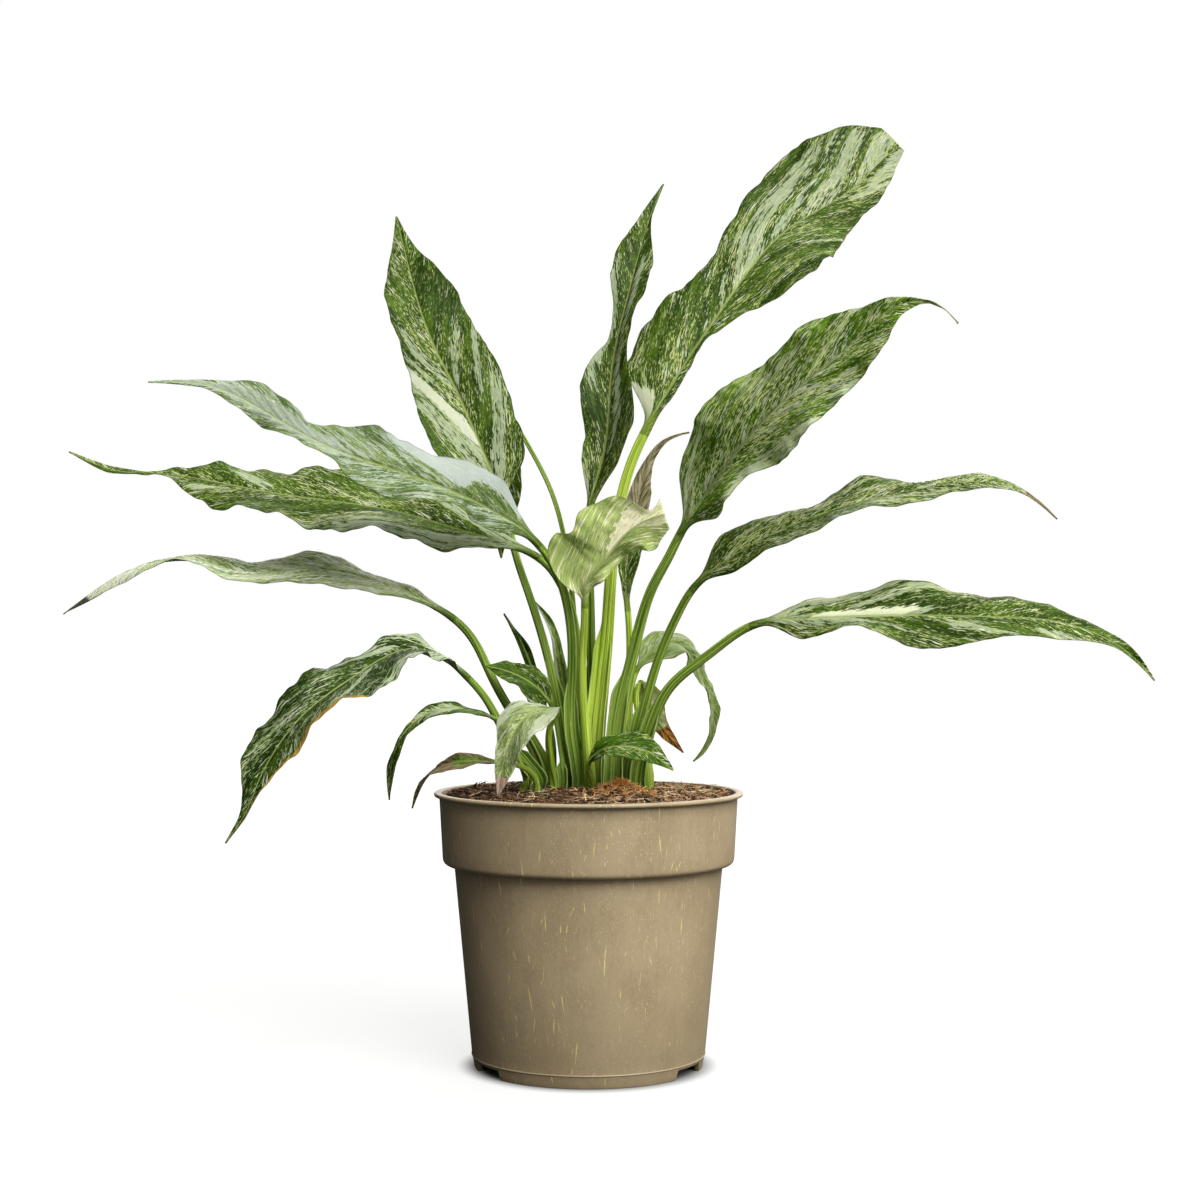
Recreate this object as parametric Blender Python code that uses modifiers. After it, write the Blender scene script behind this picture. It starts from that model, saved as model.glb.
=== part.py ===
"""A potted variegated peace lily: a nursery pot full of soil, and two dozen leaves on their stalks."""

import math

import bmesh
import bpy
from mathutils import Vector, noise
import numpy as np

MM = 0.001

# Leaves, in millimetres. Each has its root in the soil (X, Y), hand-set points up its stalk and along its
# blade to the tip, half widths left and right of the midrib from base to tip, and how far each edge
# lifts off the flat. face is the way the upper side looks, at the blade's base and at its tip. fold is
# the trough angle along the midrib in degrees, base and tip. waves is the number of edge waves, their
# height, and where each side starts. ends is the half width left at the tip. stalk is the radius at
# the soil and at the blade.
LEAVES = {
    "leaf_top_right": dict(
        root=(4, 4), stem=[(5, 4, 178), (10, 10, 233), (15, 18, 295), (24, 24, 333)],
        blade=[(31, 27, 349), (52, 42, 387), (78, 61, 427), (119, 94, 479), (163, 117, 510),
               (179, 126, 527), (192, 134, 538)],
        left=(31, 36, 28, 28, 35, 46, 43), right=(5, 5, 20, 40, 37, 24, 16), ends=(17, 4),
        face=[(-.35, -.85, .35), (-.32, -.84, .42), (-.2, -.85, .42), (.1, -.92, .3)],
        fold=(16, 6), waves=(3.5, 3, .1, .4), stalk=(4.6, 2.8)),
    "leaf_upright_narrow": dict(
        root=(6, 22), stem=[(2, 22, 211), (1, 22, 244), (0, 20, 278)],
        blade=[(0, 18, 303), (9, 25, 341), (13, 36, 386), (22, 52, 430), (35, 73, 479), (44, 85, 504)],
        left=(12, 15, 17, 7, 10, 14, 7), right=(15, 27, 17, 12, 15, 12, 2),
        face=[(-.45, -.88, .1)], fold=(35, 25), waves=(3, 2, .2, .6), stalk=(3.4, 2.2)),
    "leaf_top_left": dict(
        root=(-12, 8), stem=[(-20, 10, 212), (-35, 16, 263), (-41, 19, 281)],
        blade=[(-47, 21, 306), (-63, 38, 347), (-78, 52, 380), (-93, 66, 410), (-110, 87, 464),
               (-116, 96, 487)],
        left=(23, 29, 28, 22, 20, 19, 9), right=(22, 26, 29, 28, 27, 22, 8),
        face=[(.15, -.95, .2), (.1, -.95, .25)], fold=(18, 10), waves=(3, 2.5, .3, .8), stalk=(3.0, 2.0)),
    "leaf_behind_left": dict(
        root=(-8, 28), stem=[(-7, 32, 199), (-12, 38, 279), (-22, 41, 319), (-38, 45, 350)],
        blade=[(-44, 48, 358), (-48, 55, 341), (-51, 66, 313), (-52, 78, 281)],
        left=(6, 10, 11, 8, 4), right=(5, 8, 8, 6, 4),
        face=[(-.3, -.5, .8), (.2, -.95, .1), (.2, -.95, .1)], fold=(20, 10), waves=(2, 1, 0, .5),
        stalk=(2.0, 1.2)),
    "leaf_left_silver": dict(
        root=(-5, -1), stem=[(-9, -3, 182), (-9, -4, 228), (-16, -6, 267)],
        blade=[(-27, -8, 285), (-58, -25, 307), (-97, -45, 322), (-140, -62, 337), (-174, -74, 356),
               (-196, -79, 365), (-225, -83, 366)],
        left=(14, 13, 21, 18, 7, 7, 4), right=(18, 22, 22, 20, 11, 13, 4),
        face=[(0, -.8, .6)], fold=(16, 8), waves=(3.5, 3, .2, .6), stalk=(3.6, 2.2)),
    "leaf_left_long": dict(
        root=(-3, 16), stem=[(-5, 11, 205), (-9, 9, 247), (-19, 8, 270)],
        blade=[(-28, 8, 279), (-72, 12, 295), (-106, 16, 305), (-148, 22, 312), (-187, 28, 318),
               (-246, 36, 328), (-271, 39, 330), (-298, 42, 341)],
        left=(20, 30, 38, 28, 28, 10, 4), right=(17, 20, 24, 26, 21, 9, 4),
        face=[(0, -.55, .83)], fold=(14, 8), waves=(4, 3.5, .0, .4), stalk=(3.4, 2.2)),
    "leaf_left_low": dict(
        root=(-24, 14), stem=[(-37, 12, 183), (-54, 9, 213), (-64, 9, 233)],
        blade=[(-75, 9, 245), (-108, 12, 262), (-151, 18, 273), (-197, 24, 272), (-220, 27, 278),
               (-260, 32, 273), (-279, 35, 263), (-300, 38, 248)],
        left=(15, 21, 24, 23, 19, 9, 3), right=(14, 20, 24, 23, 19, 11, 5),
        rise=((0, 0, -6, -2, -1, 5, -3, -4, 0), (0, -2, -5, 0, -1, -3, -1, -5, 0)),
        face=[(0, -.3, .95)], fold=(14, 6), waves=(4, 1, .3, .8), stalk=(3.4, 2.2)),
    "leaf_left_drooping": dict(
        root=(-27, 4), stem=[(-31, 2, 161), (-42, -3, 175), (-56, -10, 201)],
        blade=[(-66, -13, 213), (-81, -29, 226), (-95, -44, 229), (-122, -77, 214), (-144, -102, 195),
               (-161, -124, 165), (-166, -133, 150), (-175, -138, 136)],
        left=(16, 20, 27, 29, 23, 16, 5), right=(10, 12, 19, 24, 24, 18, 7),
        face=[(-.1, -.6, .8), (-.4, -.6, .7), (-.6, -.6, .5)], fold=(16, 10), waves=(3.5, 3, .1, .5),
        stalk=(3.2, 2.0)),
    "leaf_small_left": dict(
        root=(-13, -5), stem=[(-16, 0, 178)],
        blade=[(-21, 2, 198), (-27, 0, 206), (-44, -6, 216), (-56, -9, 219)],
        left=(12, 17, 14, 8), right=(8, 12, 10, 6),
        face=[(-.3, -.6, .75), (0, -.6, .8)], fold=(18, 8), waves=(2, 1, 0, .5), stalk=(2.0, 1.4)),
    "leaf_spike_left": dict(
        root=(-20, 26), stem=[(-20, 25, 174)],
        blade=[(-24, 24, 193), (-29, 24, 208), (-38, 25, 232), (-48, 26, 248)],
        left=(4, 4, 3, 2), right=(4, 3, 3, 1),
        face=[(.2, -.95, .1)], fold=(30, 20), waves=(1, .5, 0, .5), stalk=(2.0, 1.4)),
    "leaf_low_left_curved": dict(
        root=(-34, -4), stem=[(-36, -8, 163), (-42, -12, 178)],
        blade=[(-49, -15, 189), (-62, -24, 195), (-78, -34, 197), (-95, -45, 187), (-103, -54, 168),
               (-104, -58, 150)],
        left=(11, 9, 6, 6), right=(6, 4, 3, 4),
        face=[(-.1, -.5, .85), (-.6, -.6, .5), (-.85, -.5, .1)], fold=(16, 10), waves=(2, 1, 0, .5),
        stalk=(2.2, 1.4)),
    "leaf_dried": dict(
        root=(-28, -13), stem=[(-32, -16, 162)],
        blade=[(-45, -20, 167), (-60, -20, 168), (-75, -18, 167), (-87, -12, 160), (-97, -4, 141)],
        left=(11, 10, 8, 5), right=(4, 3, 2, 2),
        face=[(0, -.5, .85), (-.5, -.6, .6), (-.8, -.5, .2)], fold=(30, 30), waves=(2, 1, 0, .5),
        stalk=(2.2, 1.4)),
    "leaf_front_pale": dict(
        root=(-19, -6), stem=[(-21, -13, 170), (-20, -22, 189)],
        blade=[(-17, -28, 195), (-24, -38, 197), (-35, -49, 191), (-43, -58, 174), (-47, -61, 152)],
        left=(14, 17, 13, 7), right=(8, 13, 9, 4),
        face=[(-.2, -.5, .85), (-.4, -.8, .4), (-.4, -.85, .1)], fold=(18, 10), waves=(2, 1.5, 0, .5),
        stalk=(2.6, 1.7)),
    "leaf_centre_pale": dict(
        root=(0, -8), stem=[(-2, -8, 185), (-3, -12, 228)],
        blade=[(-2, -20, 252), (-1, -23, 264), (5, -26, 272), (12, -28, 281), (22, -31, 292),
               (32, -33, 298), (41, -34, 301)],
        left=(3, 6, 7, 8, 9, 13, 17, 15), right=(8, 29, 29, 24, 28, 23, 19, 5), ends=(9, 9),
        face=[(.05, .95, .2)], fold=(10, 14), waves=(2.5, 2.5, 0, .5),
        stalk=(2.7, 2.0)),
    "leaf_right_large": dict(
        root=(15, -1), stem=[(17, 0, 189), (25, -2, 228), (35, -6, 262), (43, -9, 277)],
        blade=[(50, -12, 291), (70, -31, 322), (100, -56, 357), (140, -80, 390), (161, -91, 405),
               (177, -98, 403), (186, -104, 393)],
        left=(23, 30, 30, 25, 26, 15, 1.5), right=(18, 16, 28, 28, 22, 17, 2),
        face=[(-.3, -.9, .3), (-.25, -.85, .45)], fold=(16, 8), waves=(3.5, 3, .2, .6), stalk=(4.8, 2.4)),
    "leaf_right_long": dict(
        root=(22, 6), stem=[(28, 4, 183), (38, 2, 221), (52, -3, 253)],
        blade=[(57, -6, 261), (83, -15, 282), (132, -26, 304), (186, -34, 316), (211, -37, 318),
               (231, -39, 313), (250, -40, 298)],
        left=(18, 21, 23, 23, 20, 13, 6), right=(13, 20, 23, 23, 20, 13, 6),
        rise=((0, 3, -4, -7, 3, -5, -2, -1, 0), (0, -3, 1, 0, 3, 0, 1, 1, 0)),
        face=[(-.2, -.6, .8), (0, -.45, .9), (0, -.45, .9)], fold=(14, 6), waves=(4, 1, .1, .5),
        stalk=(3.4, 2.2)),
    "leaf_right_low": dict(
        root=(27, -4), stem=[(34, -8, 185), (44, -12, 207), (66, -18, 226)],
        blade=[(88, -23, 241), (114, -28, 245), (169, -36, 247), (219, -40, 246), (246, -41, 244),
               (284, -42, 229), (301, -42, 212)],
        left=(13, 20, 24, 24, 20, 12, 4), right=(13, 20, 24, 24, 20, 14, 7),
        rise=((0, 1, -3, 6, -4, -2, -3, 2, 0), (0, -6, 8, -6, -1, 2, 0, 2, 0)),
        face=[(0, -.65, .75), (0, -.6, .8)], fold=(12, 6), waves=(4, 1, .3, .8), stalk=(4.2, 2.2)),
    "leaf_right_arched": dict(
        root=(23, 22), stem=[(23, 28, 190)],
        blade=[(27, 38, 215), (44, 55, 231), (53, 63, 230), (67, 77, 211), (74, 89, 187),
               (69, 93, 168), (62, 94, 160)],
        left=(8, 12, 9, 6, 5, 4, 3), right=(13, 17, 11, 8, 5, 4, 3),
        face=[(-.1, -.6, .8), (.4, -.6, .6), (.7, -.6, .2)], fold=(14, 10), waves=(3, 1.5, 0, .5),
        stalk=(2.6, 1.6)),
    "leaf_brown_tipped": dict(
        root=(33, 12), stem=[(29, 22, 185), (27, 31, 204)],
        blade=[(29, 35, 209), (33, 45, 202), (41, 59, 184), (55, 69, 167)],
        left=(8, 9, 6, 3), right=(8, 8, 5, 3),
        face=[(0, .8, .5)], fold=(10, 10), waves=(2, 1, 0, .5), stalk=(2.4, 1.5)),
    "leaf_low_right": dict(
        root=(3, -16), stem=[],
        blade=[(0, -21, 165), (8, -29, 175), (17, -35, 177), (28, -41, 176), (45, -49, 165)],
        left=(7, 10, 11, 6), right=(7, 12, 12, 7),
        face=[(0, -.6, .8), (.3, -.7, .6)], fold=(16, 10), waves=(2, 1, 0, .5), stalk=(2.2, 1.6)),
    "leaf_withered": dict(
        root=(14, 16), stem=[(20, 21, 190), (23, 26, 233)],
        blade=[(22, 29, 250), (21, 37, 267), (28, 58, 311), (36, 68, 339), (45, 71, 350), (59, 74, 355)],
        left=(8, 11, 9, 3), right=(7, 9, 7, 3),
        face=[(.2, -.95, .1)], fold=(40, 45), waves=(3, 2, 0, .5), stalk=(2.6, 1.8)),
    "leaf_thin_pale": dict(
        root=(-12, 36), stem=[(-11, 32, 182)],
        blade=[(-12, 31, 192), (-16, 30, 219), (-23, 32, 244), (-31, 33, 255)],
        left=(4, 4, 3, 2), right=(4, 3, 3, 2),
        face=[(.2, -.95, .1)], fold=(20, 20), waves=(2, .8, 0, .5), stalk=(2.2, 1.4)),
}
PEG_HEIGHTS = (135, 146, 154)
LEAF_THICK = 0.8
TIP_HALF_WIDTH = 0.5
LARGE_LEAF = 150


def ease(x):
    x = np.clip(x, 0, 1)
    return x * x * (3 - 2 * x)


def unit(v):
    return v / np.maximum(np.linalg.norm(v, axis=-1, keepdims=True), 1e-9)


def smooth_curve(points, steps=30):
    """Natural cubic spline through the points, as short steps, and the step at which each point lies."""
    p = np.asarray(points, float)
    n = len(p)
    gaps = np.linalg.norm(np.diff(p, axis=0), axis=1) ** 0.8
    system = np.eye(n)
    bend = np.zeros_like(p)
    for i in range(1, n - 1):
        system[i, i - 1:i + 2] = gaps[i - 1], 2 * (gaps[i - 1] + gaps[i]), gaps[i]
        bend[i] = 6 * ((p[i + 1] - p[i]) / gaps[i] - (p[i] - p[i - 1]) / gaps[i - 1])
    bend = np.linalg.solve(system, bend)
    curve = []
    for i, gap in enumerate(gaps):
        for x in gap * np.arange(steps) / steps:
            slope = (p[i + 1] - p[i]) / gap - gap * (2 * bend[i] + bend[i + 1]) / 6
            curve.append(p[i] + x * (slope + x * (bend[i] / 2 + x * (bend[i + 1] - bend[i]) / (6 * gap))))
    curve.append(p[-1])
    return np.array(curve), np.arange(n) * steps


def spread(values, where):
    """Height at each place from 0 to 1 of a smooth curve through evenly spaced values."""
    values = np.asarray(values, float)
    places = np.arange(len(values)) * 20.0
    curve, _ = smooth_curve(np.stack([places, values], 1))
    return np.interp(where * places[-1], curve[:, 0], curve[:, 1])


class Leaf:
    """The middle line, widths, folds and waves of one leaf."""

    def __init__(self, root, stem, blade, left, right, face, fold, waves, stalk,
                 ends=(0.5, 0.5), rise=((0, 0), (0, 0))):
        foot = [(*root, height) for height in PEG_HEIGHTS]
        self.line, marks = smooth_curve(foot + stem + blade)
        self.line[:marks[len(foot) - 1], :2] = root
        self.run = np.concatenate([[0], np.cumsum(np.linalg.norm(np.diff(self.line, axis=0), axis=1))])
        self.base = self.run[marks[len(foot) + len(stem)]]
        self.length = self.run[-1] - self.base
        self.half_widths = {-1: (0, *left, ends[0]), 1: (0, *right, ends[1])}
        self.rise = rise
        self.face = np.array(face * 2 if len(face) == 1 else face)
        self.fold, self.waves, self.stalk = fold, waves, stalk

    def point(self, s):
        return np.stack([np.interp(s, self.run, self.line[:, k]) for k in range(3)], -1)

    def stations(self, stalk_rows, blade_rows):
        along = np.linspace(0, 1, blade_rows + 1)
        along = 0.9 * along + 0.1 * np.sin(along * np.pi / 2)
        stalk = np.linspace(PEG_HEIGHTS[-1] - PEG_HEIGHTS[0], self.base, stalk_rows)[:-1]
        return np.concatenate([[0], stalk, self.base + self.length * along])

    def frame(self, s):
        """Middle points, the ways along, up from the upper side and left, and the place on the blade."""
        along = unit(self.point(np.minimum(s + 1.5, self.run[-1])) - self.point(np.maximum(s - 1.5, 0)))
        place = np.clip((s - self.base) / self.length, 0, 1)
        marks = np.linspace(0, 1, len(self.face))
        up = np.stack([np.interp(place, marks, self.face[:, k]) for k in range(3)], -1)
        up = unit(up - (up * along).sum(-1, keepdims=True) * along)
        return self.point(s), along, up, np.cross(up, along), place

    def radius(self, s, place):
        """Radius of the stalk, and of the midrib that carries on from it."""
        soil_radius, neck_radius = self.stalk
        stalk = soil_radius + (neck_radius - soil_radius) * np.clip(s / self.base, 0, 1) ** 0.7
        return np.where(place > 0, np.maximum(neck_radius * (1 - place) ** 1.2, 0.5), stalk)

    def middle(self, s, columns):
        """Points of the blade's middle sheet: a row a station, with columns from left to right."""
        centre, along, up, left, place = self.frame(s)
        angle = np.radians(self.fold[0] + (self.fold[1] - self.fold[0]) * place) * ease(place * 8)
        count, height, start_left, start_right = self.waves
        radius = self.radius(s, place)
        sheet = []
        for column in columns:
            side, out = (-1, left) if column < 0 else (1, -left)
            reach = abs(column)
            half = np.maximum(spread(self.half_widths[side], place), np.maximum(radius, TIP_HALF_WIDTH))
            start = start_left if side < 0 else start_right
            swing = np.sin(2 * np.pi * (count * place + start))
            wave = height * ease(place * 5) * ease(3 - 3 * place) * swing
            rise = spread(self.rise[(side + 1) // 2], place)
            droop = 0.1 * half * ease(place * 8)
            lift = half * reach * np.sin(angle) - droop * reach ** 2 + (wave + rise) * reach ** 1.5
            sheet.append(centre + out * (half * reach * np.cos(angle))[:, None] + up * lift[:, None])
        return np.stack(sheet, 1)

    def skins(self, s, columns):
        """Upper and lower skin: a round stalk that opens into a thin blade with a midrib below."""
        columns = np.asarray(columns, float)
        centre, along, up, left, place = self.frame(s)
        sheet = self.middle(s, columns)
        normal = unit(np.cross(np.gradient(sheet, axis=1), np.gradient(sheet, axis=0)))
        normal *= np.sign((normal * up[:, None]).sum(-1).mean())
        radius = self.radius(s, place)[:, None]
        opened = ease(place / 0.14)[:, None]
        rib = 1.3 * radius * opened * np.exp(-(columns / 0.16) ** 2)
        upper = sheet + normal * LEAF_THICK / 2
        lower = sheet - normal * (LEAF_THICK / 2 + rib)[..., None]
        turn = np.pi * (0.06 + 0.88 * (columns + 1) / 2)
        across = -left[:, None] * (-radius * np.cos(turn))[..., None]
        swell = up[:, None] * (radius * np.sin(turn))[..., None]
        opened = opened[..., None]
        upper = (centre[:, None] + across + swell) * (1 - opened) + upper * opened
        lower = (centre[:, None] + across - swell) * (1 - opened) + lower * opened
        return upper, lower


# Pot, in millimetres: radii and heights of its outside from the rim down, the wall, and the parts below
RIM_RADIUS = 85.0
RIM_HEIGHT = 150.0
BEAD_HEIGHT = 2.3
COLLAR_TOP_RADIUS = 82.2
COLLAR_FOOT_RADIUS = 80.0
COLLAR_FOOT = 110.7
BODY_TOP_RADIUS = 73.4
BODY_TOP = 106.0
SEAM_RADIUS = 64.0
SEAM_HEIGHT = 6.7
FOOT_RADIUS = 62.4
WALL = 1.3
FLOOR_UNDERSIDE = 6.0
FLOOR_TOP = 7.6
SKIRT_WALL = 2.2
NOTCH_HALF_ANGLE = 14
NOTCH_HEIGHT = 5.4
NOTCH_NARROWING = 0.8
NOTCH_ANGLES = (60, 180, 300)
DRAIN_RADIUS = 4.5
DRAIN_CIRCLE_RADIUS = 44.0
POT_SEGMENTS = 60

# Soil: a plug with a low mound round the stalks
SOIL_GAP = 0.35
SOIL_HEIGHT = 148.0
MOUND_HEIGHT = 3.0
MOUND_RADIUS = 34.0
SOIL_ROUGHNESS = 1.2
SOIL_SEGMENTS = 36
SOIL_RINGS = 7
HOLE_CLEARANCE = 0.4
HOLE_SIDES = 12

LARGE_LEAF_COLUMNS = (-1, -0.6, -0.2, 0, 0.2, 0.6, 1)
SMALL_LEAF_COLUMNS = (-1, -0.5, 0, 0.5, 1)

# Colours, in linear light, with roughness
POT_LOOK = ((0.40, 0.31, 0.205), 0.55)
SOIL_LOOK = ((0.035, 0.020, 0.012), 0.95)
GREEN_LOOK = ((0.075, 0.135, 0.035), 0.42)
PALE_LOOK = ((0.30, 0.37, 0.20), 0.45)
DRY_LOOK = ((0.20, 0.17, 0.10), 0.60)
LEAF_LOOKS = {
    "leaf_left_silver": PALE_LOOK,
    "leaf_front_pale": PALE_LOOK,
    "leaf_centre_pale": PALE_LOOK,
    "leaf_withered": DRY_LOOK,
    "leaf_dried": DRY_LOOK,
}


def material(name, look):
    colour, roughness = look
    made = bpy.data.materials.new(name)
    made.use_nodes = True
    shader = made.node_tree.nodes["Principled BSDF"]
    shader.inputs["Base Color"].default_value = (*colour, 1)
    shader.inputs["Roughness"].default_value = roughness
    shader.inputs["Metallic"].default_value = 0
    return made


def add_object(name, mesh, collection, parent=None, look=None):
    obj = bpy.data.objects.new(name, mesh)
    collection.objects.link(obj)
    obj.parent = parent
    if look:
        mesh.materials.append(material(name, look))
    return obj


def turned(name, profile, segments, collection, parent, look):
    """A solid turned about Z from a profile in millimetres, whose outer side runs from top to bottom."""
    mesh = bpy.data.meshes.new(name)
    points = [(radius * MM, 0, height * MM) for radius, height in profile]
    mesh.from_pydata(points, [(i, i + 1) for i in range(len(points) - 1)], [])
    obj = add_object(name, mesh, collection, parent, look)
    screw = obj.modifiers.new("turn", "SCREW")
    screw.steps = screw.render_steps = segments
    screw.use_merge_vertices = True
    screw.merge_threshold = 0.00001
    screw.use_smooth_shade = True
    return obj


def cutter(name, mesh, collection):
    obj = add_object(name, mesh, collection)
    obj.hide_render = True
    obj.display_type = "WIRE"
    return obj


def cylinder_mesh(name, radius, foot, top, sides):
    form = bmesh.new()
    depth = top - foot
    bmesh.ops.create_cone(form, cap_ends=True, segments=sides, radius1=radius * MM, radius2=radius * MM,
                          depth=depth * MM)
    bmesh.ops.translate(form, verts=form.verts, vec=(0, 0, (foot + depth / 2) * MM))
    mesh = bpy.data.meshes.new(name)
    form.to_mesh(mesh)
    form.free()
    return mesh


def wall_radius(height):
    """Outer radius of the pot's wall at a height, in millimetres."""
    if height > COLLAR_FOOT:
        share = (height - COLLAR_FOOT) / (RIM_HEIGHT - COLLAR_FOOT)
        return COLLAR_FOOT_RADIUS + share * (COLLAR_TOP_RADIUS - COLLAR_FOOT_RADIUS)
    share = (height - SEAM_HEIGHT) / (BODY_TOP - SEAM_HEIGHT)
    return SEAM_RADIUS + share * (BODY_TOP_RADIUS - SEAM_RADIUS)


def bead_profile():
    """The rolled rim, from the inside round the top to the underside."""
    half = BEAD_HEIGHT / 2
    centre = RIM_RADIUS - half
    turns = [math.radians(angle) for angle in (0, 45, 90, 135, 180)]
    arc = [(centre + half * math.sin(a), RIM_HEIGHT - half + half * math.cos(a)) for a in turns]
    return [(COLLAR_TOP_RADIUS - WALL + 0.4, RIM_HEIGHT)] + arc


def pot_profile():
    inside = [
        (0, FLOOR_TOP),
        (wall_radius(FLOOR_TOP + 2) - WALL - 2, FLOOR_TOP),
        (wall_radius(FLOOR_TOP + 2) - WALL, FLOOR_TOP + 2),
        (BODY_TOP_RADIUS - WALL, COLLAR_FOOT + WALL - 0.3),
        (COLLAR_FOOT_RADIUS - WALL, COLLAR_FOOT + WALL + 0.5),
        (wall_radius(RIM_HEIGHT - 2) - WALL, RIM_HEIGHT - 0.8),
    ]
    outside = [
        (wall_radius(RIM_HEIGHT - BEAD_HEIGHT), RIM_HEIGHT - BEAD_HEIGHT - 0.2),
        (wall_radius(COLLAR_FOOT + 3.2), COLLAR_FOOT + 3.2),
        (COLLAR_FOOT_RADIUS - 1.0, COLLAR_FOOT + 0.9),
        (COLLAR_FOOT_RADIUS - 3.2, COLLAR_FOOT),
        (BODY_TOP_RADIUS + 1.0, COLLAR_FOOT - 0.6),
        (BODY_TOP_RADIUS, BODY_TOP),
        (SEAM_RADIUS, SEAM_HEIGHT + 0.9),
        (SEAM_RADIUS + 0.35, SEAM_HEIGHT + 0.4),
        (SEAM_RADIUS, SEAM_HEIGHT - 0.1),
        (FOOT_RADIUS + 0.4, 0.8),
        (FOOT_RADIUS - 0.4, 0),
        (FOOT_RADIUS - SKIRT_WALL, 0),
        (FOOT_RADIUS - SKIRT_WALL, FLOOR_UNDERSIDE),
        (0, FLOOR_UNDERSIDE),
    ]
    return inside + bead_profile() + outside


def make_pot(collection, cutters, parent):
    pot = turned("pot", pot_profile(), POT_SEGMENTS, collection, parent, POT_LOOK)
    for angle in NOTCH_ANGLES:
        form = bmesh.new()
        bmesh.ops.create_cube(form, size=1)
        reach = RIM_RADIUS - DRAIN_CIRCLE_RADIUS
        width = 2 * FOOT_RADIUS * math.sin(math.radians(NOTCH_HALF_ANGLE))
        bmesh.ops.scale(form, verts=form.verts, vec=(reach * MM, width * MM, 2 * NOTCH_HEIGHT * MM))
        roof = [vert for vert in form.verts if vert.co.z > 0]
        bmesh.ops.scale(form, verts=roof, vec=(1, NOTCH_NARROWING, 1))
        middle = (RIM_RADIUS + DRAIN_CIRCLE_RADIUS) / 2
        bmesh.ops.translate(form, verts=form.verts, vec=(middle * MM, 0, 0))
        mesh = bpy.data.meshes.new("notch")
        form.to_mesh(mesh)
        form.free()
        notch = cutter(f"notch_{angle}", mesh, cutters)
        notch.rotation_euler.z = math.radians(angle - 90)
        mesh = cylinder_mesh("drain", DRAIN_RADIUS, 0, FLOOR_TOP + 2, 20)
        drain = cutter(f"drain_{angle}", mesh, cutters)
        turn = math.radians(angle - 90)
        drain.location = Vector((math.cos(turn), math.sin(turn), 0)) * DRAIN_CIRCLE_RADIUS * MM
        for part in (notch, drain):
            cut = pot.modifiers.new(part.name, "BOOLEAN")
            cut.object = part
            cut.operation = "DIFFERENCE"
    return pot


def soil_height(x, y):
    """Height of the soil in millimetres: level at the pot's wall, mounded and lumpy in the middle."""
    distance = math.hypot(x, y)
    level = SOIL_HEIGHT + MOUND_HEIGHT * math.exp(-(distance / MOUND_RADIUS) ** 2)
    lumps = noise.noise(Vector((x / 9, y / 9, 3.1))) + 0.5 * noise.noise(Vector((x / 4, y / 4, 7.7)))
    return level + SOIL_ROUGHNESS * lumps


def make_soil(collection, cutters, parent):
    """A plug that fills the pot, with a round hole for each stalk's foot."""
    low = wall_radius(FLOOR_TOP + 2) - WALL - SOIL_GAP
    edge = COLLAR_FOOT_RADIUS - WALL - SOIL_GAP
    step = COLLAR_FOOT + WALL + SOIL_GAP
    side = [(edge, SOIL_HEIGHT), (edge, step + 0.8), (BODY_TOP_RADIUS - WALL - SOIL_GAP, step),
            (low, FLOOR_TOP + 2 + SOIL_GAP)]
    top = [(edge * ring / SOIL_RINGS, SOIL_HEIGHT) for ring in range(SOIL_RINGS)]
    foot = [(low - 2.2, FLOOR_TOP + SOIL_GAP), (0, FLOOR_TOP + SOIL_GAP)]
    profile = top + side + foot
    form = bmesh.new()
    chain = [form.verts.new((radius * MM, 0, height * MM)) for radius, height in profile]
    edges = [form.edges.new(pair) for pair in zip(chain, chain[1:])]
    bmesh.ops.spin(form, geom=chain + edges, cent=(0, 0, 0), axis=(0, 0, 1), angle=2 * math.pi,
                   steps=SOIL_SEGMENTS, use_merge=True)
    bmesh.ops.remove_doubles(form, verts=form.verts, dist=0.00001)
    bmesh.ops.recalc_face_normals(form, faces=form.faces)
    for vert in form.verts:
        if vert.co.z > (SOIL_HEIGHT - 1) * MM:
            vert.co.z = soil_height(vert.co.x / MM, vert.co.y / MM) * MM
    bmesh.ops.triangulate(form, faces=form.faces)
    mesh = bpy.data.meshes.new("soil")
    form.to_mesh(mesh)
    form.free()
    mesh.shade_smooth()
    soil = add_object("soil", mesh, collection, parent, SOIL_LOOK)
    for name, spec in LEAVES.items():
        radius = (spec["stalk"][0] + HOLE_CLEARANCE) / math.cos(math.pi / HOLE_SIDES)
        foot_of_hole = PEG_HEIGHTS[0] - HOLE_CLEARANCE
        mesh = cylinder_mesh("hole", radius, foot_of_hole, PEG_HEIGHTS[-1] + 10, HOLE_SIDES)
        hole = cutter(f"hole_{name}", mesh, cutters)
        x, y = spec["root"]
        hole.location = Vector((x, y, 0)) * MM
        cut = soil.modifiers.new(hole.name, "BOOLEAN")
        cut.object = hole
        cut.operation = "DIFFERENCE"
    return soil


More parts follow.
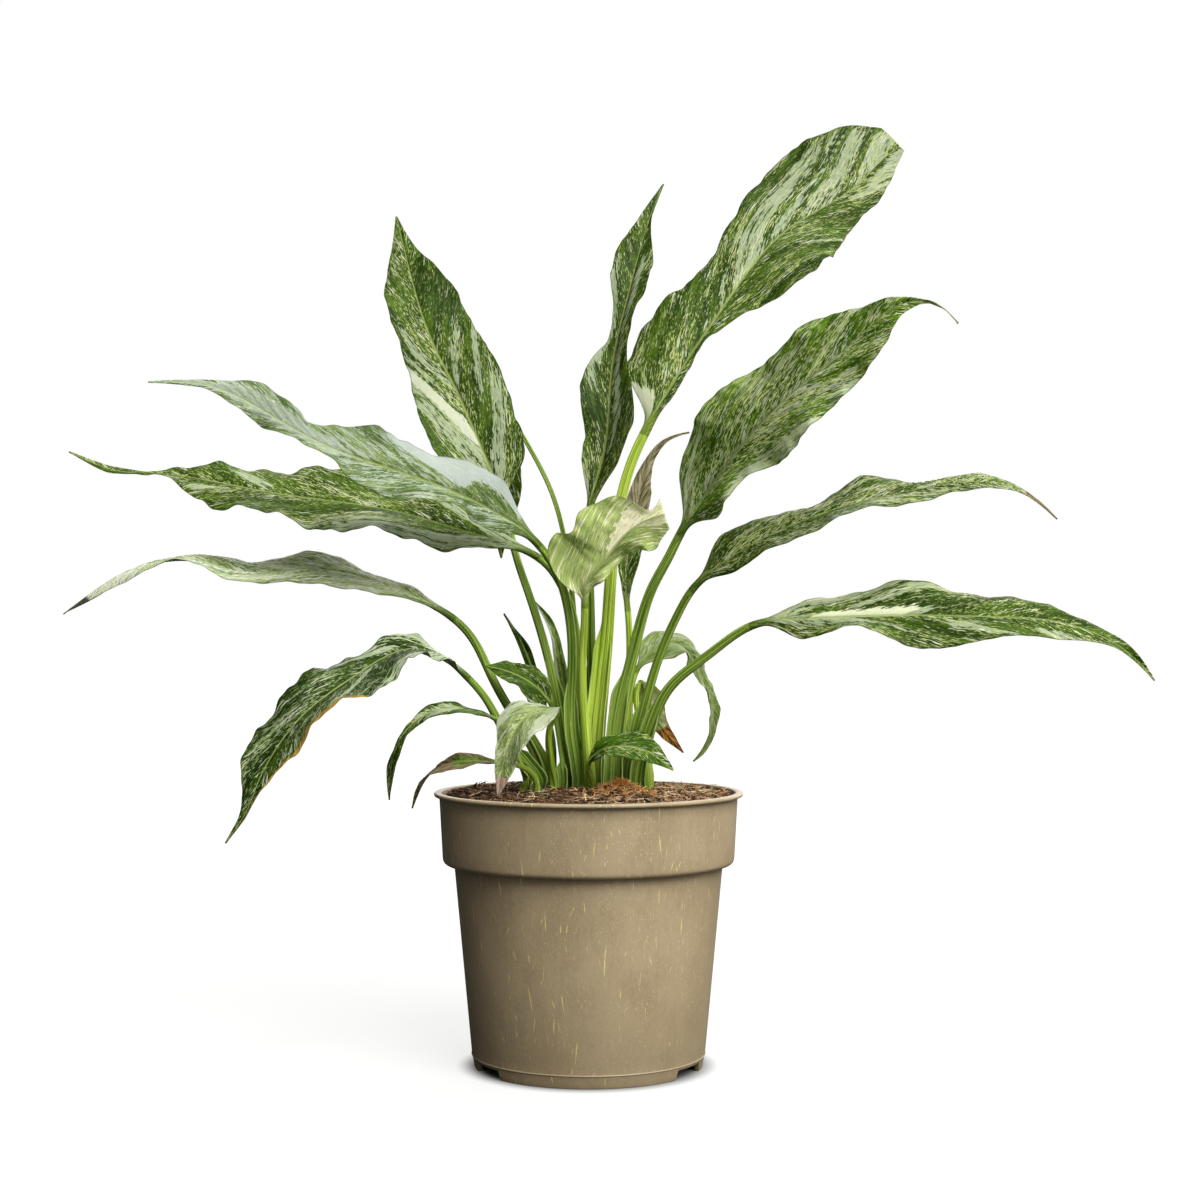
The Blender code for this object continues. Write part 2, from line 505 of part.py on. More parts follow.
def leaf_mesh(name, leaf, root, stalk_rows, blade_rows, columns):
    """A closed loft: rings of points, each an upper row from left to right and a lower row back again."""
    upper, lower = leaf.skins(leaf.stations(stalk_rows, blade_rows), columns)
    rings = np.concatenate([upper, lower[:, ::-1]], axis=1) - np.array([*root, 0.0])
    half = len(columns)
    form = bmesh.new()
    verts = [[form.verts.new(Vector(point) * MM) for point in ring] for ring in rings]
    for near, far in zip(verts, verts[1:]):
        for k in range(2 * half):
            n = (k + 1) % (2 * half)
            if k < half:
                form.faces.new((near[k], near[n], far[n]))
                form.faces.new((near[k], far[n], far[k]))
            else:
                form.faces.new((near[k], near[n], far[k]))
                form.faces.new((near[n], far[n], far[k]))
    for ring in (verts[0], verts[-1]):
        for k in range(half - 1):
            form.faces.new((ring[k], ring[k + 1], ring[-k - 2], ring[-k - 1]))
    bmesh.ops.recalc_face_normals(form, faces=form.faces)
    mesh = bpy.data.meshes.new(name)
    form.to_mesh(mesh)
    form.free()
    mesh.shade_smooth()
    return mesh


def make_leaves(collection, parent):
    for name, spec in LEAVES.items():
        leaf = Leaf(**spec)
        if leaf.length > LARGE_LEAF:
            mesh = leaf_mesh(name, leaf, spec["root"], 5, 14, LARGE_LEAF_COLUMNS)
        else:
            mesh = leaf_mesh(name, leaf, spec["root"], 4, 9, SMALL_LEAF_COLUMNS)
        obj = add_object(name, mesh, collection, parent, LEAF_LOOKS.get(name, GREEN_LOOK))
        x, y = spec["root"]
        obj.location = Vector((x, y, 0)) * MM


def main():
    for obj in list(bpy.data.objects):
        bpy.data.objects.remove(obj)
    parts = bpy.data.collections.new("potted_peace_lily")
    cutters = bpy.data.collections.new("cutters")
    for collection in (parts, cutters):
        bpy.context.scene.collection.children.link(collection)
    plant = bpy.data.objects.new("potted_peace_lily", None)
    parts.objects.link(plant)
    make_pot(parts, cutters, plant)
    make_soil(parts, cutters, plant)
    make_leaves(parts, plant)


main()
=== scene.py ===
"""A potted variegated peace lily in a studio: fine leaves, moulded pot, fibrous peat, light and camera."""

import math

import bpy
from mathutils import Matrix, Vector, noise
import numpy as np


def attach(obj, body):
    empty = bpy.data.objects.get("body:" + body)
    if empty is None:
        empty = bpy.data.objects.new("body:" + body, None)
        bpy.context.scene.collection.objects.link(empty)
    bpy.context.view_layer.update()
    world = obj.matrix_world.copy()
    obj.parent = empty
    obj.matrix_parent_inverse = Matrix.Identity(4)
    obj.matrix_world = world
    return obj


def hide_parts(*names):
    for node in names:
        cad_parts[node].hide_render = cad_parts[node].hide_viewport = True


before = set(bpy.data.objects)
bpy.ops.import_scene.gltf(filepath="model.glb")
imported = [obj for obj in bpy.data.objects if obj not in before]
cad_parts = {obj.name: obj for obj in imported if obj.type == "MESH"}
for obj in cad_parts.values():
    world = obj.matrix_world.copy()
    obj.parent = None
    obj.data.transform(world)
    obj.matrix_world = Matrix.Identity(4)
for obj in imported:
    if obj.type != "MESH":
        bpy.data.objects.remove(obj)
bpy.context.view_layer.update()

MM = 0.001
TURN = 2 * math.pi

# Leaves, in millimetres. Each has its root in the soil (X, Y), given points up its stalk and along its
# blade to the tip, half widths left and right of the midrib from base to tip, and how far each edge
# lifts off the flat. face is the way the upper side looks, at the blade's base and at its tip. fold is
# the trough angle along the midrib in degrees, base and tip. waves is the number of edge waves, their
# height, and where each side starts. ends is the half width left at the tip. stalk is the radius at
# the soil and at the blade.
LEAVES = {
    "leaf_top_right": dict(
        root=(4, 4), stem=[(5, 4, 178), (10, 10, 233), (15, 18, 295), (24, 24, 333)],
        blade=[(31, 27, 349), (52, 42, 387), (78, 61, 427), (119, 94, 479), (163, 117, 510),
               (179, 126, 527), (192, 134, 538)],
        left=(31, 36, 28, 28, 35, 46, 43), right=(5, 5, 20, 40, 37, 24, 16), ends=(17, 4),
        face=[(-.35, -.85, .35), (-.32, -.84, .42), (-.2, -.85, .42), (.1, -.92, .3)],
        fold=(16, 6), waves=(3.5, 3, .1, .4), stalk=(4.6, 2.8)),
    "leaf_upright_narrow": dict(
        root=(6, 22), stem=[(2, 22, 211), (1, 22, 244), (0, 20, 278)],
        blade=[(0, 18, 303), (9, 25, 341), (13, 36, 386), (22, 52, 430), (35, 73, 479), (44, 85, 504)],
        left=(12, 15, 17, 7, 10, 14, 7), right=(15, 27, 17, 12, 15, 12, 2),
        face=[(-.45, -.88, .1)], fold=(35, 25), waves=(3, 2, .2, .6), stalk=(3.4, 2.2)),
    "leaf_top_left": dict(
        root=(-12, 8), stem=[(-20, 10, 212), (-35, 16, 263), (-41, 19, 281)],
        blade=[(-47, 21, 306), (-63, 38, 347), (-78, 52, 380), (-93, 66, 410), (-110, 87, 464),
               (-116, 96, 487)],
        left=(23, 29, 28, 22, 20, 19, 9), right=(22, 26, 29, 28, 27, 22, 8),
        face=[(.15, -.95, .2), (.1, -.95, .25)], fold=(18, 10), waves=(3, 2.5, .3, .8), stalk=(3.0, 2.0)),
    "leaf_behind_left": dict(
        root=(-8, 28), stem=[(-7, 32, 199), (-12, 38, 279), (-22, 41, 319), (-38, 45, 350)],
        blade=[(-44, 48, 358), (-48, 55, 341), (-51, 66, 313), (-52, 78, 281)],
        left=(6, 10, 11, 8, 4), right=(5, 8, 8, 6, 4),
        face=[(-.3, -.5, .8), (.2, -.95, .1), (.2, -.95, .1)], fold=(20, 10), waves=(2, 1, 0, .5),
        stalk=(2.0, 1.2)),
    "leaf_left_silver": dict(
        root=(-5, -1), stem=[(-9, -3, 182), (-9, -4, 228), (-16, -6, 267)],
        blade=[(-27, -8, 285), (-58, -25, 307), (-97, -45, 322), (-140, -62, 337), (-174, -74, 356),
               (-196, -79, 365), (-225, -83, 366)],
        left=(14, 13, 21, 18, 7, 7, 4), right=(18, 22, 22, 20, 11, 13, 4),
        face=[(0, -.8, .6)], fold=(16, 8), waves=(3.5, 3, .2, .6), stalk=(3.6, 2.2)),
    "leaf_left_long": dict(
        root=(-3, 16), stem=[(-5, 11, 205), (-9, 9, 247), (-19, 8, 270)],
        blade=[(-28, 8, 279), (-72, 12, 295), (-106, 16, 305), (-148, 22, 312), (-187, 28, 318),
               (-246, 36, 328), (-271, 39, 330), (-298, 42, 341)],
        left=(20, 30, 38, 28, 28, 10, 4), right=(17, 20, 24, 26, 21, 9, 4),
        face=[(0, -.55, .83)], fold=(14, 8), waves=(4, 3.5, .0, .4), stalk=(3.4, 2.2)),
    "leaf_left_low": dict(
        root=(-24, 14), stem=[(-37, 12, 183), (-54, 9, 213), (-64, 9, 233)],
        blade=[(-75, 9, 245), (-108, 12, 262), (-151, 18, 273), (-197, 24, 272), (-220, 27, 278),
               (-260, 32, 273), (-279, 35, 263), (-300, 38, 248)],
        left=(15, 21, 24, 23, 19, 9, 3), right=(14, 20, 24, 23, 19, 11, 5),
        rise=((0, 0, -6, -2, -1, 5, -3, -4, 0), (0, -2, -5, 0, -1, -3, -1, -5, 0)),
        face=[(0, -.3, .95)], fold=(14, 6), waves=(4, 1, .3, .8), stalk=(3.4, 2.2)),
    "leaf_left_drooping": dict(
        root=(-27, 4), stem=[(-31, 2, 161), (-42, -3, 175), (-56, -10, 201)],
        blade=[(-66, -13, 213), (-81, -29, 226), (-95, -44, 229), (-122, -77, 214), (-144, -102, 195),
               (-161, -124, 165), (-166, -133, 150), (-175, -138, 136)],
        left=(16, 20, 27, 29, 23, 16, 5), right=(10, 12, 19, 24, 24, 18, 7),
        face=[(-.1, -.6, .8), (-.4, -.6, .7), (-.6, -.6, .5)], fold=(16, 10), waves=(3.5, 3, .1, .5),
        stalk=(3.2, 2.0)),
    "leaf_small_left": dict(
        root=(-13, -5), stem=[(-16, 0, 178)],
        blade=[(-21, 2, 198), (-27, 0, 206), (-44, -6, 216), (-56, -9, 219)],
        left=(12, 17, 14, 8), right=(8, 12, 10, 6),
        face=[(-.3, -.6, .75), (0, -.6, .8)], fold=(18, 8), waves=(2, 1, 0, .5), stalk=(2.0, 1.4)),
    "leaf_spike_left": dict(
        root=(-20, 26), stem=[(-20, 25, 174)],
        blade=[(-24, 24, 193), (-29, 24, 208), (-38, 25, 232), (-48, 26, 248)],
        left=(4, 4, 3, 2), right=(4, 3, 3, 1),
        face=[(.2, -.95, .1)], fold=(30, 20), waves=(1, .5, 0, .5), stalk=(2.0, 1.4)),
    "leaf_low_left_curved": dict(
        root=(-34, -4), stem=[(-36, -8, 163), (-42, -12, 178)],
        blade=[(-49, -15, 189), (-62, -24, 195), (-78, -34, 197), (-95, -45, 187), (-103, -54, 168),
               (-104, -58, 150)],
        left=(11, 9, 6, 6), right=(6, 4, 3, 4),
        face=[(-.1, -.5, .85), (-.6, -.6, .5), (-.85, -.5, .1)], fold=(16, 10), waves=(2, 1, 0, .5),
        stalk=(2.2, 1.4)),
    "leaf_dried": dict(
        root=(-28, -13), stem=[(-32, -16, 162)],
        blade=[(-45, -20, 167), (-60, -20, 168), (-75, -18, 167), (-87, -12, 160), (-97, -4, 141)],
        left=(11, 10, 8, 5), right=(4, 3, 2, 2),
        face=[(0, -.5, .85), (-.5, -.6, .6), (-.8, -.5, .2)], fold=(30, 30), waves=(2, 1, 0, .5),
        stalk=(2.2, 1.4)),
    "leaf_front_pale": dict(
        root=(-19, -6), stem=[(-21, -13, 170), (-20, -22, 189)],
        blade=[(-17, -28, 195), (-24, -38, 197), (-35, -49, 191), (-43, -58, 174), (-47, -61, 152)],
        left=(14, 17, 13, 7), right=(8, 13, 9, 4),
        face=[(-.2, -.5, .85), (-.4, -.8, .4), (-.4, -.85, .1)], fold=(18, 10), waves=(2, 1.5, 0, .5),
        stalk=(2.6, 1.7)),
    "leaf_centre_pale": dict(
        root=(0, -8), stem=[(-2, -8, 185), (-3, -12, 228)],
        blade=[(-2, -20, 252), (-1, -23, 264), (5, -26, 272), (12, -28, 281), (22, -31, 292),
               (32, -33, 298), (41, -34, 301)],
        left=(3, 6, 7, 8, 9, 13, 17, 15), right=(8, 29, 29, 24, 28, 23, 19, 5), ends=(9, 9),
        face=[(.05, .95, .2)], fold=(10, 14), waves=(2.5, 2.5, 0, .5),
        stalk=(2.7, 2.0)),
    "leaf_right_large": dict(
        root=(15, -1), stem=[(17, 0, 189), (25, -2, 228), (35, -6, 262), (43, -9, 277)],
        blade=[(50, -12, 291), (70, -31, 322), (100, -56, 357), (140, -80, 390), (161, -91, 405),
               (177, -98, 403), (186, -104, 393)],
        left=(23, 30, 30, 25, 26, 15, 1.5), right=(18, 16, 28, 28, 22, 17, 2),
        face=[(-.3, -.9, .3), (-.25, -.85, .45)], fold=(16, 8), waves=(3.5, 3, .2, .6), stalk=(4.8, 2.4)),
    "leaf_right_long": dict(
        root=(22, 6), stem=[(28, 4, 183), (38, 2, 221), (52, -3, 253)],
        blade=[(57, -6, 261), (83, -15, 282), (132, -26, 304), (186, -34, 316), (211, -37, 318),
               (231, -39, 313), (250, -40, 298)],
        left=(18, 21, 23, 23, 20, 13, 6), right=(13, 20, 23, 23, 20, 13, 6),
        rise=((0, 3, -4, -7, 3, -5, -2, -1, 0), (0, -3, 1, 0, 3, 0, 1, 1, 0)),
        face=[(-.2, -.6, .8), (0, -.45, .9), (0, -.45, .9)], fold=(14, 6), waves=(4, 1, .1, .5),
        stalk=(3.4, 2.2)),
    "leaf_right_low": dict(
        root=(27, -4), stem=[(34, -8, 185), (44, -12, 207), (66, -18, 226)],
        blade=[(88, -23, 241), (114, -28, 245), (169, -36, 247), (219, -40, 246), (246, -41, 244),
               (284, -42, 229), (301, -42, 212)],
        left=(13, 20, 24, 24, 20, 12, 4), right=(13, 20, 24, 24, 20, 14, 7),
        rise=((0, 1, -3, 6, -4, -2, -3, 2, 0), (0, -6, 8, -6, -1, 2, 0, 2, 0)),
        face=[(0, -.65, .75), (0, -.6, .8)], fold=(12, 6), waves=(4, 1, .3, .8), stalk=(4.2, 2.2)),
    "leaf_right_arched": dict(
        root=(23, 22), stem=[(23, 28, 190)],
        blade=[(27, 38, 215), (44, 55, 231), (53, 63, 230), (67, 77, 211), (74, 89, 187),
               (69, 93, 168), (62, 94, 160)],
        left=(8, 12, 9, 6, 5, 4, 3), right=(13, 17, 11, 8, 5, 4, 3),
        face=[(-.1, -.6, .8), (.4, -.6, .6), (.7, -.6, .2)], fold=(14, 10), waves=(3, 1.5, 0, .5),
        stalk=(2.6, 1.6)),
    "leaf_brown_tipped": dict(
        root=(33, 12), stem=[(29, 22, 185), (27, 31, 204)],
        blade=[(29, 35, 209), (33, 45, 202), (41, 59, 184), (55, 69, 167)],
        left=(8, 9, 6, 3), right=(8, 8, 5, 3),
        face=[(0, .8, .5)], fold=(10, 10), waves=(2, 1, 0, .5), stalk=(2.4, 1.5)),
    "leaf_low_right": dict(
        root=(3, -16), stem=[],
        blade=[(0, -21, 165), (8, -29, 175), (17, -35, 177), (28, -41, 176), (45, -49, 165)],
        left=(7, 10, 11, 6), right=(7, 12, 12, 7),
        face=[(0, -.6, .8), (.3, -.7, .6)], fold=(16, 10), waves=(2, 1, 0, .5), stalk=(2.2, 1.6)),
    "leaf_withered": dict(
        root=(14, 16), stem=[(20, 21, 190), (23, 26, 233)],
        blade=[(22, 29, 250), (21, 37, 267), (28, 58, 311), (36, 68, 339), (45, 71, 350), (59, 74, 355)],
        left=(8, 11, 9, 3), right=(7, 9, 7, 3),
        face=[(.2, -.95, .1)], fold=(40, 45), waves=(3, 2, 0, .5), stalk=(2.6, 1.8)),
    "leaf_thin_pale": dict(
        root=(-12, 36), stem=[(-11, 32, 182)],
        blade=[(-12, 31, 192), (-16, 30, 219), (-23, 32, 244), (-31, 33, 255)],
        left=(4, 4, 3, 2), right=(4, 3, 3, 2),
        face=[(.2, -.95, .1)], fold=(20, 20), waves=(2, .8, 0, .5), stalk=(2.2, 1.4)),
}
FRESH = dict(dark=(28, 50, 2), light=(72, 98, 20))
DEEP = dict(dark=(32, 52, 3), light=(70, 94, 22))
SOFT = dict(dark=(70, 94, 20), light=(122, 146, 62))
DULL_STALK = dict(stalk_colour=(148, 174, 76), stalk_shade=(80, 108, 26))

# How each leaf is marked, where it differs from the usual look below: its greens, how many flecks and how
# much silver it has in general, and its patches. A patch has a kind, a side (-1 left, 1 right, 0 both), where
# its side veins start along the midrib (from 0 at the blade's base to 1 at the tip), and how far out from
# the midrib it lies. Dry patches and those named across lie straight across the blade.
LOOKS = {
    "leaf_top_right": dict(FRESH, flecks=0.55, wing=5.0, patches=[
        ("silver", -1, 0.33, 0.36, 0.0, 0.8), ("silver", -1, 0.39, 0.53, -0.3, 0.9),
        ("silver", -1, 0.57, 0.62, 0.0, 0.95), ("silver", -1, 0.65, 0.78, 0.0, 0.85),
        ("silver", -1, 0.82, 0.97, -0.3, 0.7), ("silver", 1, 0.74, 1.0, 0.2, 1.5),
        ("silver", 1, 0.4, 0.44, 0.5, 1.4), ("cream_across", -1, -0.1, 0.1, 0.3, 2)]),
    "leaf_upright_narrow": dict(DEEP, **DULL_STALK, flecks=0.4, wing=4.5, patches=[
        ("silver", 1, 0.1, 0.7, 0.2, 0.55), ("silver", -1, 0.2, 0.6, 0.55, 1.1)]),
    "leaf_top_left": dict(FRESH, **DULL_STALK, flecks=0.5, patches=[
        ("cream", -1, 0.19, 0.27, 0.02, 1.3), ("silver", -1, 0.1, 0.24, 0.0, 1.3),
        ("silver", -1, -0.1, 0.1, 0.0, 0.6), ("silver", -1, 0.0, 0.12, 0.6, 1.1),
        ("silver", -1, 0.3, 0.34, 0.0, 1.2), ("silver", 1, 0.0, 0.14, 0.0, 0.9),
        ("silver", 1, 0.36, 0.44, 0.0, 0.7), ("silver", -1, 0.36, 0.46, 0.0, 0.9),
        ("silver", 1, 0.2, 0.26, 0.3, 1.1)]),
    "leaf_behind_left": dict(DEEP, **DULL_STALK, flecks=0.7),
    "leaf_left_silver": dict(
        DULL_STALK, dark=(66, 88, 36), light=(116, 134, 80), flecks=0.2, silver=0.38, pleats=0.3,
        slot="pale_leaf", cream_colour=(166, 174, 166), silver_colour=(158, 168, 150),
        silver_shade=(110, 126, 92), fleck_colour=(196, 204, 172), patches=[
            ("cream", 1, -0.2, 0.22, 0.15, 1.1), ("silver", 0, 0.5, 1.0, 0.0, 0.5),
            ("green_across", 1, -0.1, 0.22, -0.2, 0.5), ("green_across", 0, -0.1, 0.07, -1, 2)]),
    "leaf_left_long": dict(FRESH, **DULL_STALK, flecks=0.6, patches=[
        ("silver", 0, -0.2, 0.10, -0.3, 1.0), ("cream", -1, 0.25, 0.27, 0.1, 0.7),
        ("silver", -1, 0.58, 0.66, 0.2, 0.8), ("silver", 1, 0.50, 0.58, 0.1, 0.7),
        ("silver", -1, 0.12, 0.2, 0.5, 1.4)]),
    # painted light: greens and silver made paler to make up for the shade this leaf lies in
    "leaf_left_low": dict(
        DULL_STALK, dark=(92, 120, 44), light=(192, 206, 150), flecks=0.4, silver=0.38, pleats=0.4, under=0.0,
        silver_colour=(234, 238, 216), dry_colour=(60, 58, 40), dry_shade=(32, 32, 24),
        patches=[("silver", 0, 0.74, 1.2, -1, 2), ("dry", 0, 0.93, 1.2, -1, 2)]),
    "leaf_left_drooping": dict(
        DULL_STALK, dark=(18, 34, 1), light=(50, 72, 10), flecks=0.6, fleck_colour=(172, 188, 136),
        dry_colour=(176, 146, 62), dry_shade=(120, 84, 40), patches=[
            ("silver", 0, -0.3, 0.12, -0.3, 1.2), ("silver", -1, 0.3, 0.36, 0.1, 0.9),
            ("dry", -1, 0.52, 0.97, 0.87, 1.8), ("silver", 1, 0.2, 0.26, 0.2, 0.9)]),
    "leaf_small_left": dict(FRESH, **DULL_STALK, flecks=0.1),
    "leaf_spike_left": dict(FRESH, **DULL_STALK, flecks=0.1, patches=[("dry", 0, 0.92, 1.2, -1, 2)]),
    "leaf_low_left_curved": dict(DEEP, flecks=0.4, patches=[("silver", 0, 0.2, 0.5, 0.0, 0.7)]),
    "leaf_dried": dict(
        SOFT, flecks=0.2, slot="dry_leaf", dry_colour=(158, 140, 108), dry_shade=(92, 76, 54), sheath=0,
        patches=[("dry", 0, 0.42, 1.2, -1, 2), ("dry", 0, 0.1, 0.5, 0.6, 2)]),
    "leaf_front_pale": dict(
        dark=(88, 108, 52), light=(146, 160, 110), flecks=0.6, silver=0.1, slot="pale_leaf", sheath=0,
        silver_colour=(178, 186, 158), silver_shade=(128, 142, 96), dry_colour=(190, 160, 150),
        dry_shade=(150, 125, 105), patches=[
            ("silver", 0, -0.5, 0.2, 0.5, 1.6), ("cream", 0, -0.9, 1.0, 0.93, 1.6),
            ("dry", 0, 0.86, 1.2, -1, 2), ("dry", -1, 0.4, 1.2, 1.05, 2)]),
    # painted light: a pale underside colour that stands in for light shining through the leaf
    "leaf_centre_pale": dict(
        dark=(118, 142, 58), light=(174, 194, 112), flecks=0.9, silver=0.1, slot="pale_leaf", pleats=0.3,
        cream_colour=(255, 246, 218), silver_colour=(238, 238, 196), silver_shade=(176, 190, 116),
        under=0.2, under_colour=(206, 214, 150),
        patches=[("cream", 1, 0.42, 1.3, -0.5, 1.8), ("cream", -1, 0.74, 1.3, -0.5, 0.5)]),
    # partly painted light: greens, flecks and silver paler than the usual look, to make up for the shade on
    # this leaf's lower part
    "leaf_right_large": dict(
        DULL_STALK, dark=(50, 84, 6), light=(108, 140, 34), flecks=0.9, silver=0.06, wing=4.0, under=0.1,
        silver_colour=(214, 224, 196), silver_shade=(134, 156, 90), fleck_colour=(222, 230, 166), patches=[
            ("silver", 0, -0.1, 0.7, -0.3, 0.06), ("silver", 1, 0.02, 0.2, 0.7, 1.4),
            ("silver", 1, 0.3, 0.42, 0.8, 1.4), ("silver", -1, -0.08, -0.02, 0.2, 0.9)]),
    "leaf_right_long": dict(FRESH, **DULL_STALK, flecks=0.75, silver=0.2, pleats=0.4,
                            patches=[("dry", 0, 0.9, 1.2, -1, 2)]),
    "leaf_right_low": dict(
        FRESH, **DULL_STALK, flecks=0.55, silver=0.06, pleats=0.4, cream_colour=(218, 222, 188), patches=[
            ("silver", -1, -0.02, 0.10, 0.1, 1.1), ("silver", -1, 0.0, 0.4, -0.4, 0.25),
            ("silver", 1, 0.0, 0.24, 0.0, 0.5), ("cream", -1, 0.14, 0.36, -0.3, 0.24),
            ("silver", -1, 0.14, 0.2, 0.4, 1.3), ("silver", 1, 0.36, 0.44, 0.2, 0.9),
            ("silver", 1, 0.55, 0.66, 0.5, 1.2)]),
    "leaf_right_arched": dict(dark=(104, 128, 58), light=(160, 180, 110), flecks=0.4, silver=0.3),
    # painted light: near-white greens and silver, to make up for the heavy shade this leaf lies in
    "leaf_brown_tipped": dict(
        dark=(206, 218, 158), light=(236, 242, 206), flecks=0.3, silver=0.1, slot="pale_leaf", under=0.2,
        silver_colour=(230, 234, 208), silver_shade=(196, 204, 160), dry_colour=(214, 150, 66),
        dry_shade=(112, 66, 34), patches=[("dry", 0, 0.66, 1.2, -1, 2), ("dry", 1, 0.3, 1.2, 0.9, 2)]),
    "leaf_low_right": dict(dark=(34, 62, 4), light=(76, 108, 24), flecks=0.5, sheath=0, under=0.1),
    "leaf_withered": dict(DEEP, flecks=0.6, silver=0.2, slot="dry_leaf", dry_colour=(176, 164, 132),
                          dry_shade=(98, 92, 64), sheath=0, rib=0.3, patches=[("dry", 0, 0.4, 1.3, -1, 2)]),
    "leaf_thin_pale": dict(SOFT, flecks=0.3, patches=[("cream", -1, 0.0, 1.0, 0.5, 2)]),
}
USUAL_LOOK = dict(
    silver=0.0, silver_strength=0.85, silver_colour=(162, 174, 140), silver_shade=(94, 114, 56),
    cream_colour=(192, 194, 174), fleck_colour=(192, 202, 128), margin=(40, 58, 10), under=0.42,
    under_colour=(138, 152, 106), rib=0.7, rib_colour=(150, 166, 92), dry_colour=(128, 108, 66),
    dry_shade=(72, 58, 36), stalk_colour=(196, 216, 92), stalk_shade=(128, 158, 40), pleats=0.22,
    slot="green_leaf", sheath=0.5, wing=3.0, patches=[])


def full_look(name):
    look = {**USUAL_LOOK, **LOOKS[name]}
    return {key: colour(*value) if isinstance(value, tuple) else value for key, value in look.items()}


PEG_HEIGHTS = (135, 146, 154)
BLADE_THICK = 0.5
TIP_HALF_WIDTH = 0.3
SHEATH_THICK = 0.52
SHEATH_ROWS = 26
PLEAT_GAP = 9.5
FINE_PLEAT_GAP = 4.3
NIBBLE_DEPTH = 0.4
PATCH_EDGE_ALONG = 0.045
PATCH_EDGE_ACROSS = 0.4
FIELD_KEYS = ("silver", "cream", "dry", "under", "stalk", "pale")
COLUMNS = (0.012, 0.036, 0.07, 0.11, 0.16, 0.22, 0.29, 0.37, 0.46, 0.55, 0.64, 0.73, 0.82, 0.9, 0.955,
           0.985, 1)
SMALL_COLUMNS = (0.03, 0.08, 0.16, 0.28, 0.42, 0.56, 0.7, 0.84, 0.93, 0.98, 1)
LARGE_BLADE = 150


def ease(x):
    x = np.clip(x, 0, 1)
    return x * x * (3 - 2 * x)


def unit(v):
    return v / np.maximum(np.linalg.norm(v, axis=-1, keepdims=True), 1e-9)


def smooth_curve(points, steps=30):
    """Natural cubic spline through the points, as short steps, and the step at which each point lies."""
    p = np.asarray(points, float)
    n = len(p)
    gaps = np.linalg.norm(np.diff(p, axis=0), axis=1) ** 0.8
    system = np.eye(n)
    bend = np.zeros_like(p)
    for i in range(1, n - 1):
        system[i, i - 1:i + 2] = gaps[i - 1], 2 * (gaps[i - 1] + gaps[i]), gaps[i]
        bend[i] = 6 * ((p[i + 1] - p[i]) / gaps[i] - (p[i] - p[i - 1]) / gaps[i - 1])
    bend = np.linalg.solve(system, bend)
    curve = []
    for i, gap in enumerate(gaps):
        for x in gap * np.arange(steps) / steps:
            slope = (p[i + 1] - p[i]) / gap - gap * (2 * bend[i] + bend[i + 1]) / 6
            curve.append(p[i] + x * (slope + x * (bend[i] / 2 + x * (bend[i + 1] - bend[i]) / (6 * gap))))
    curve.append(p[-1])
    return np.array(curve), np.arange(n) * steps


def spread(values, where):
    """Height at each place from 0 to 1 of a smooth curve through evenly spaced values."""
    values = np.asarray(values, float)
    places = np.arange(len(values)) * 20.0
    curve, _ = smooth_curve(np.stack([places, values], 1))
    return np.interp(where * places[-1], curve[:, 0], curve[:, 1])


def vein_advance(across):
    """How far towards the tip a side vein has run, in millimetres, at a distance from the midrib."""
    return 2.2 * across + 0.02 * across ** 2


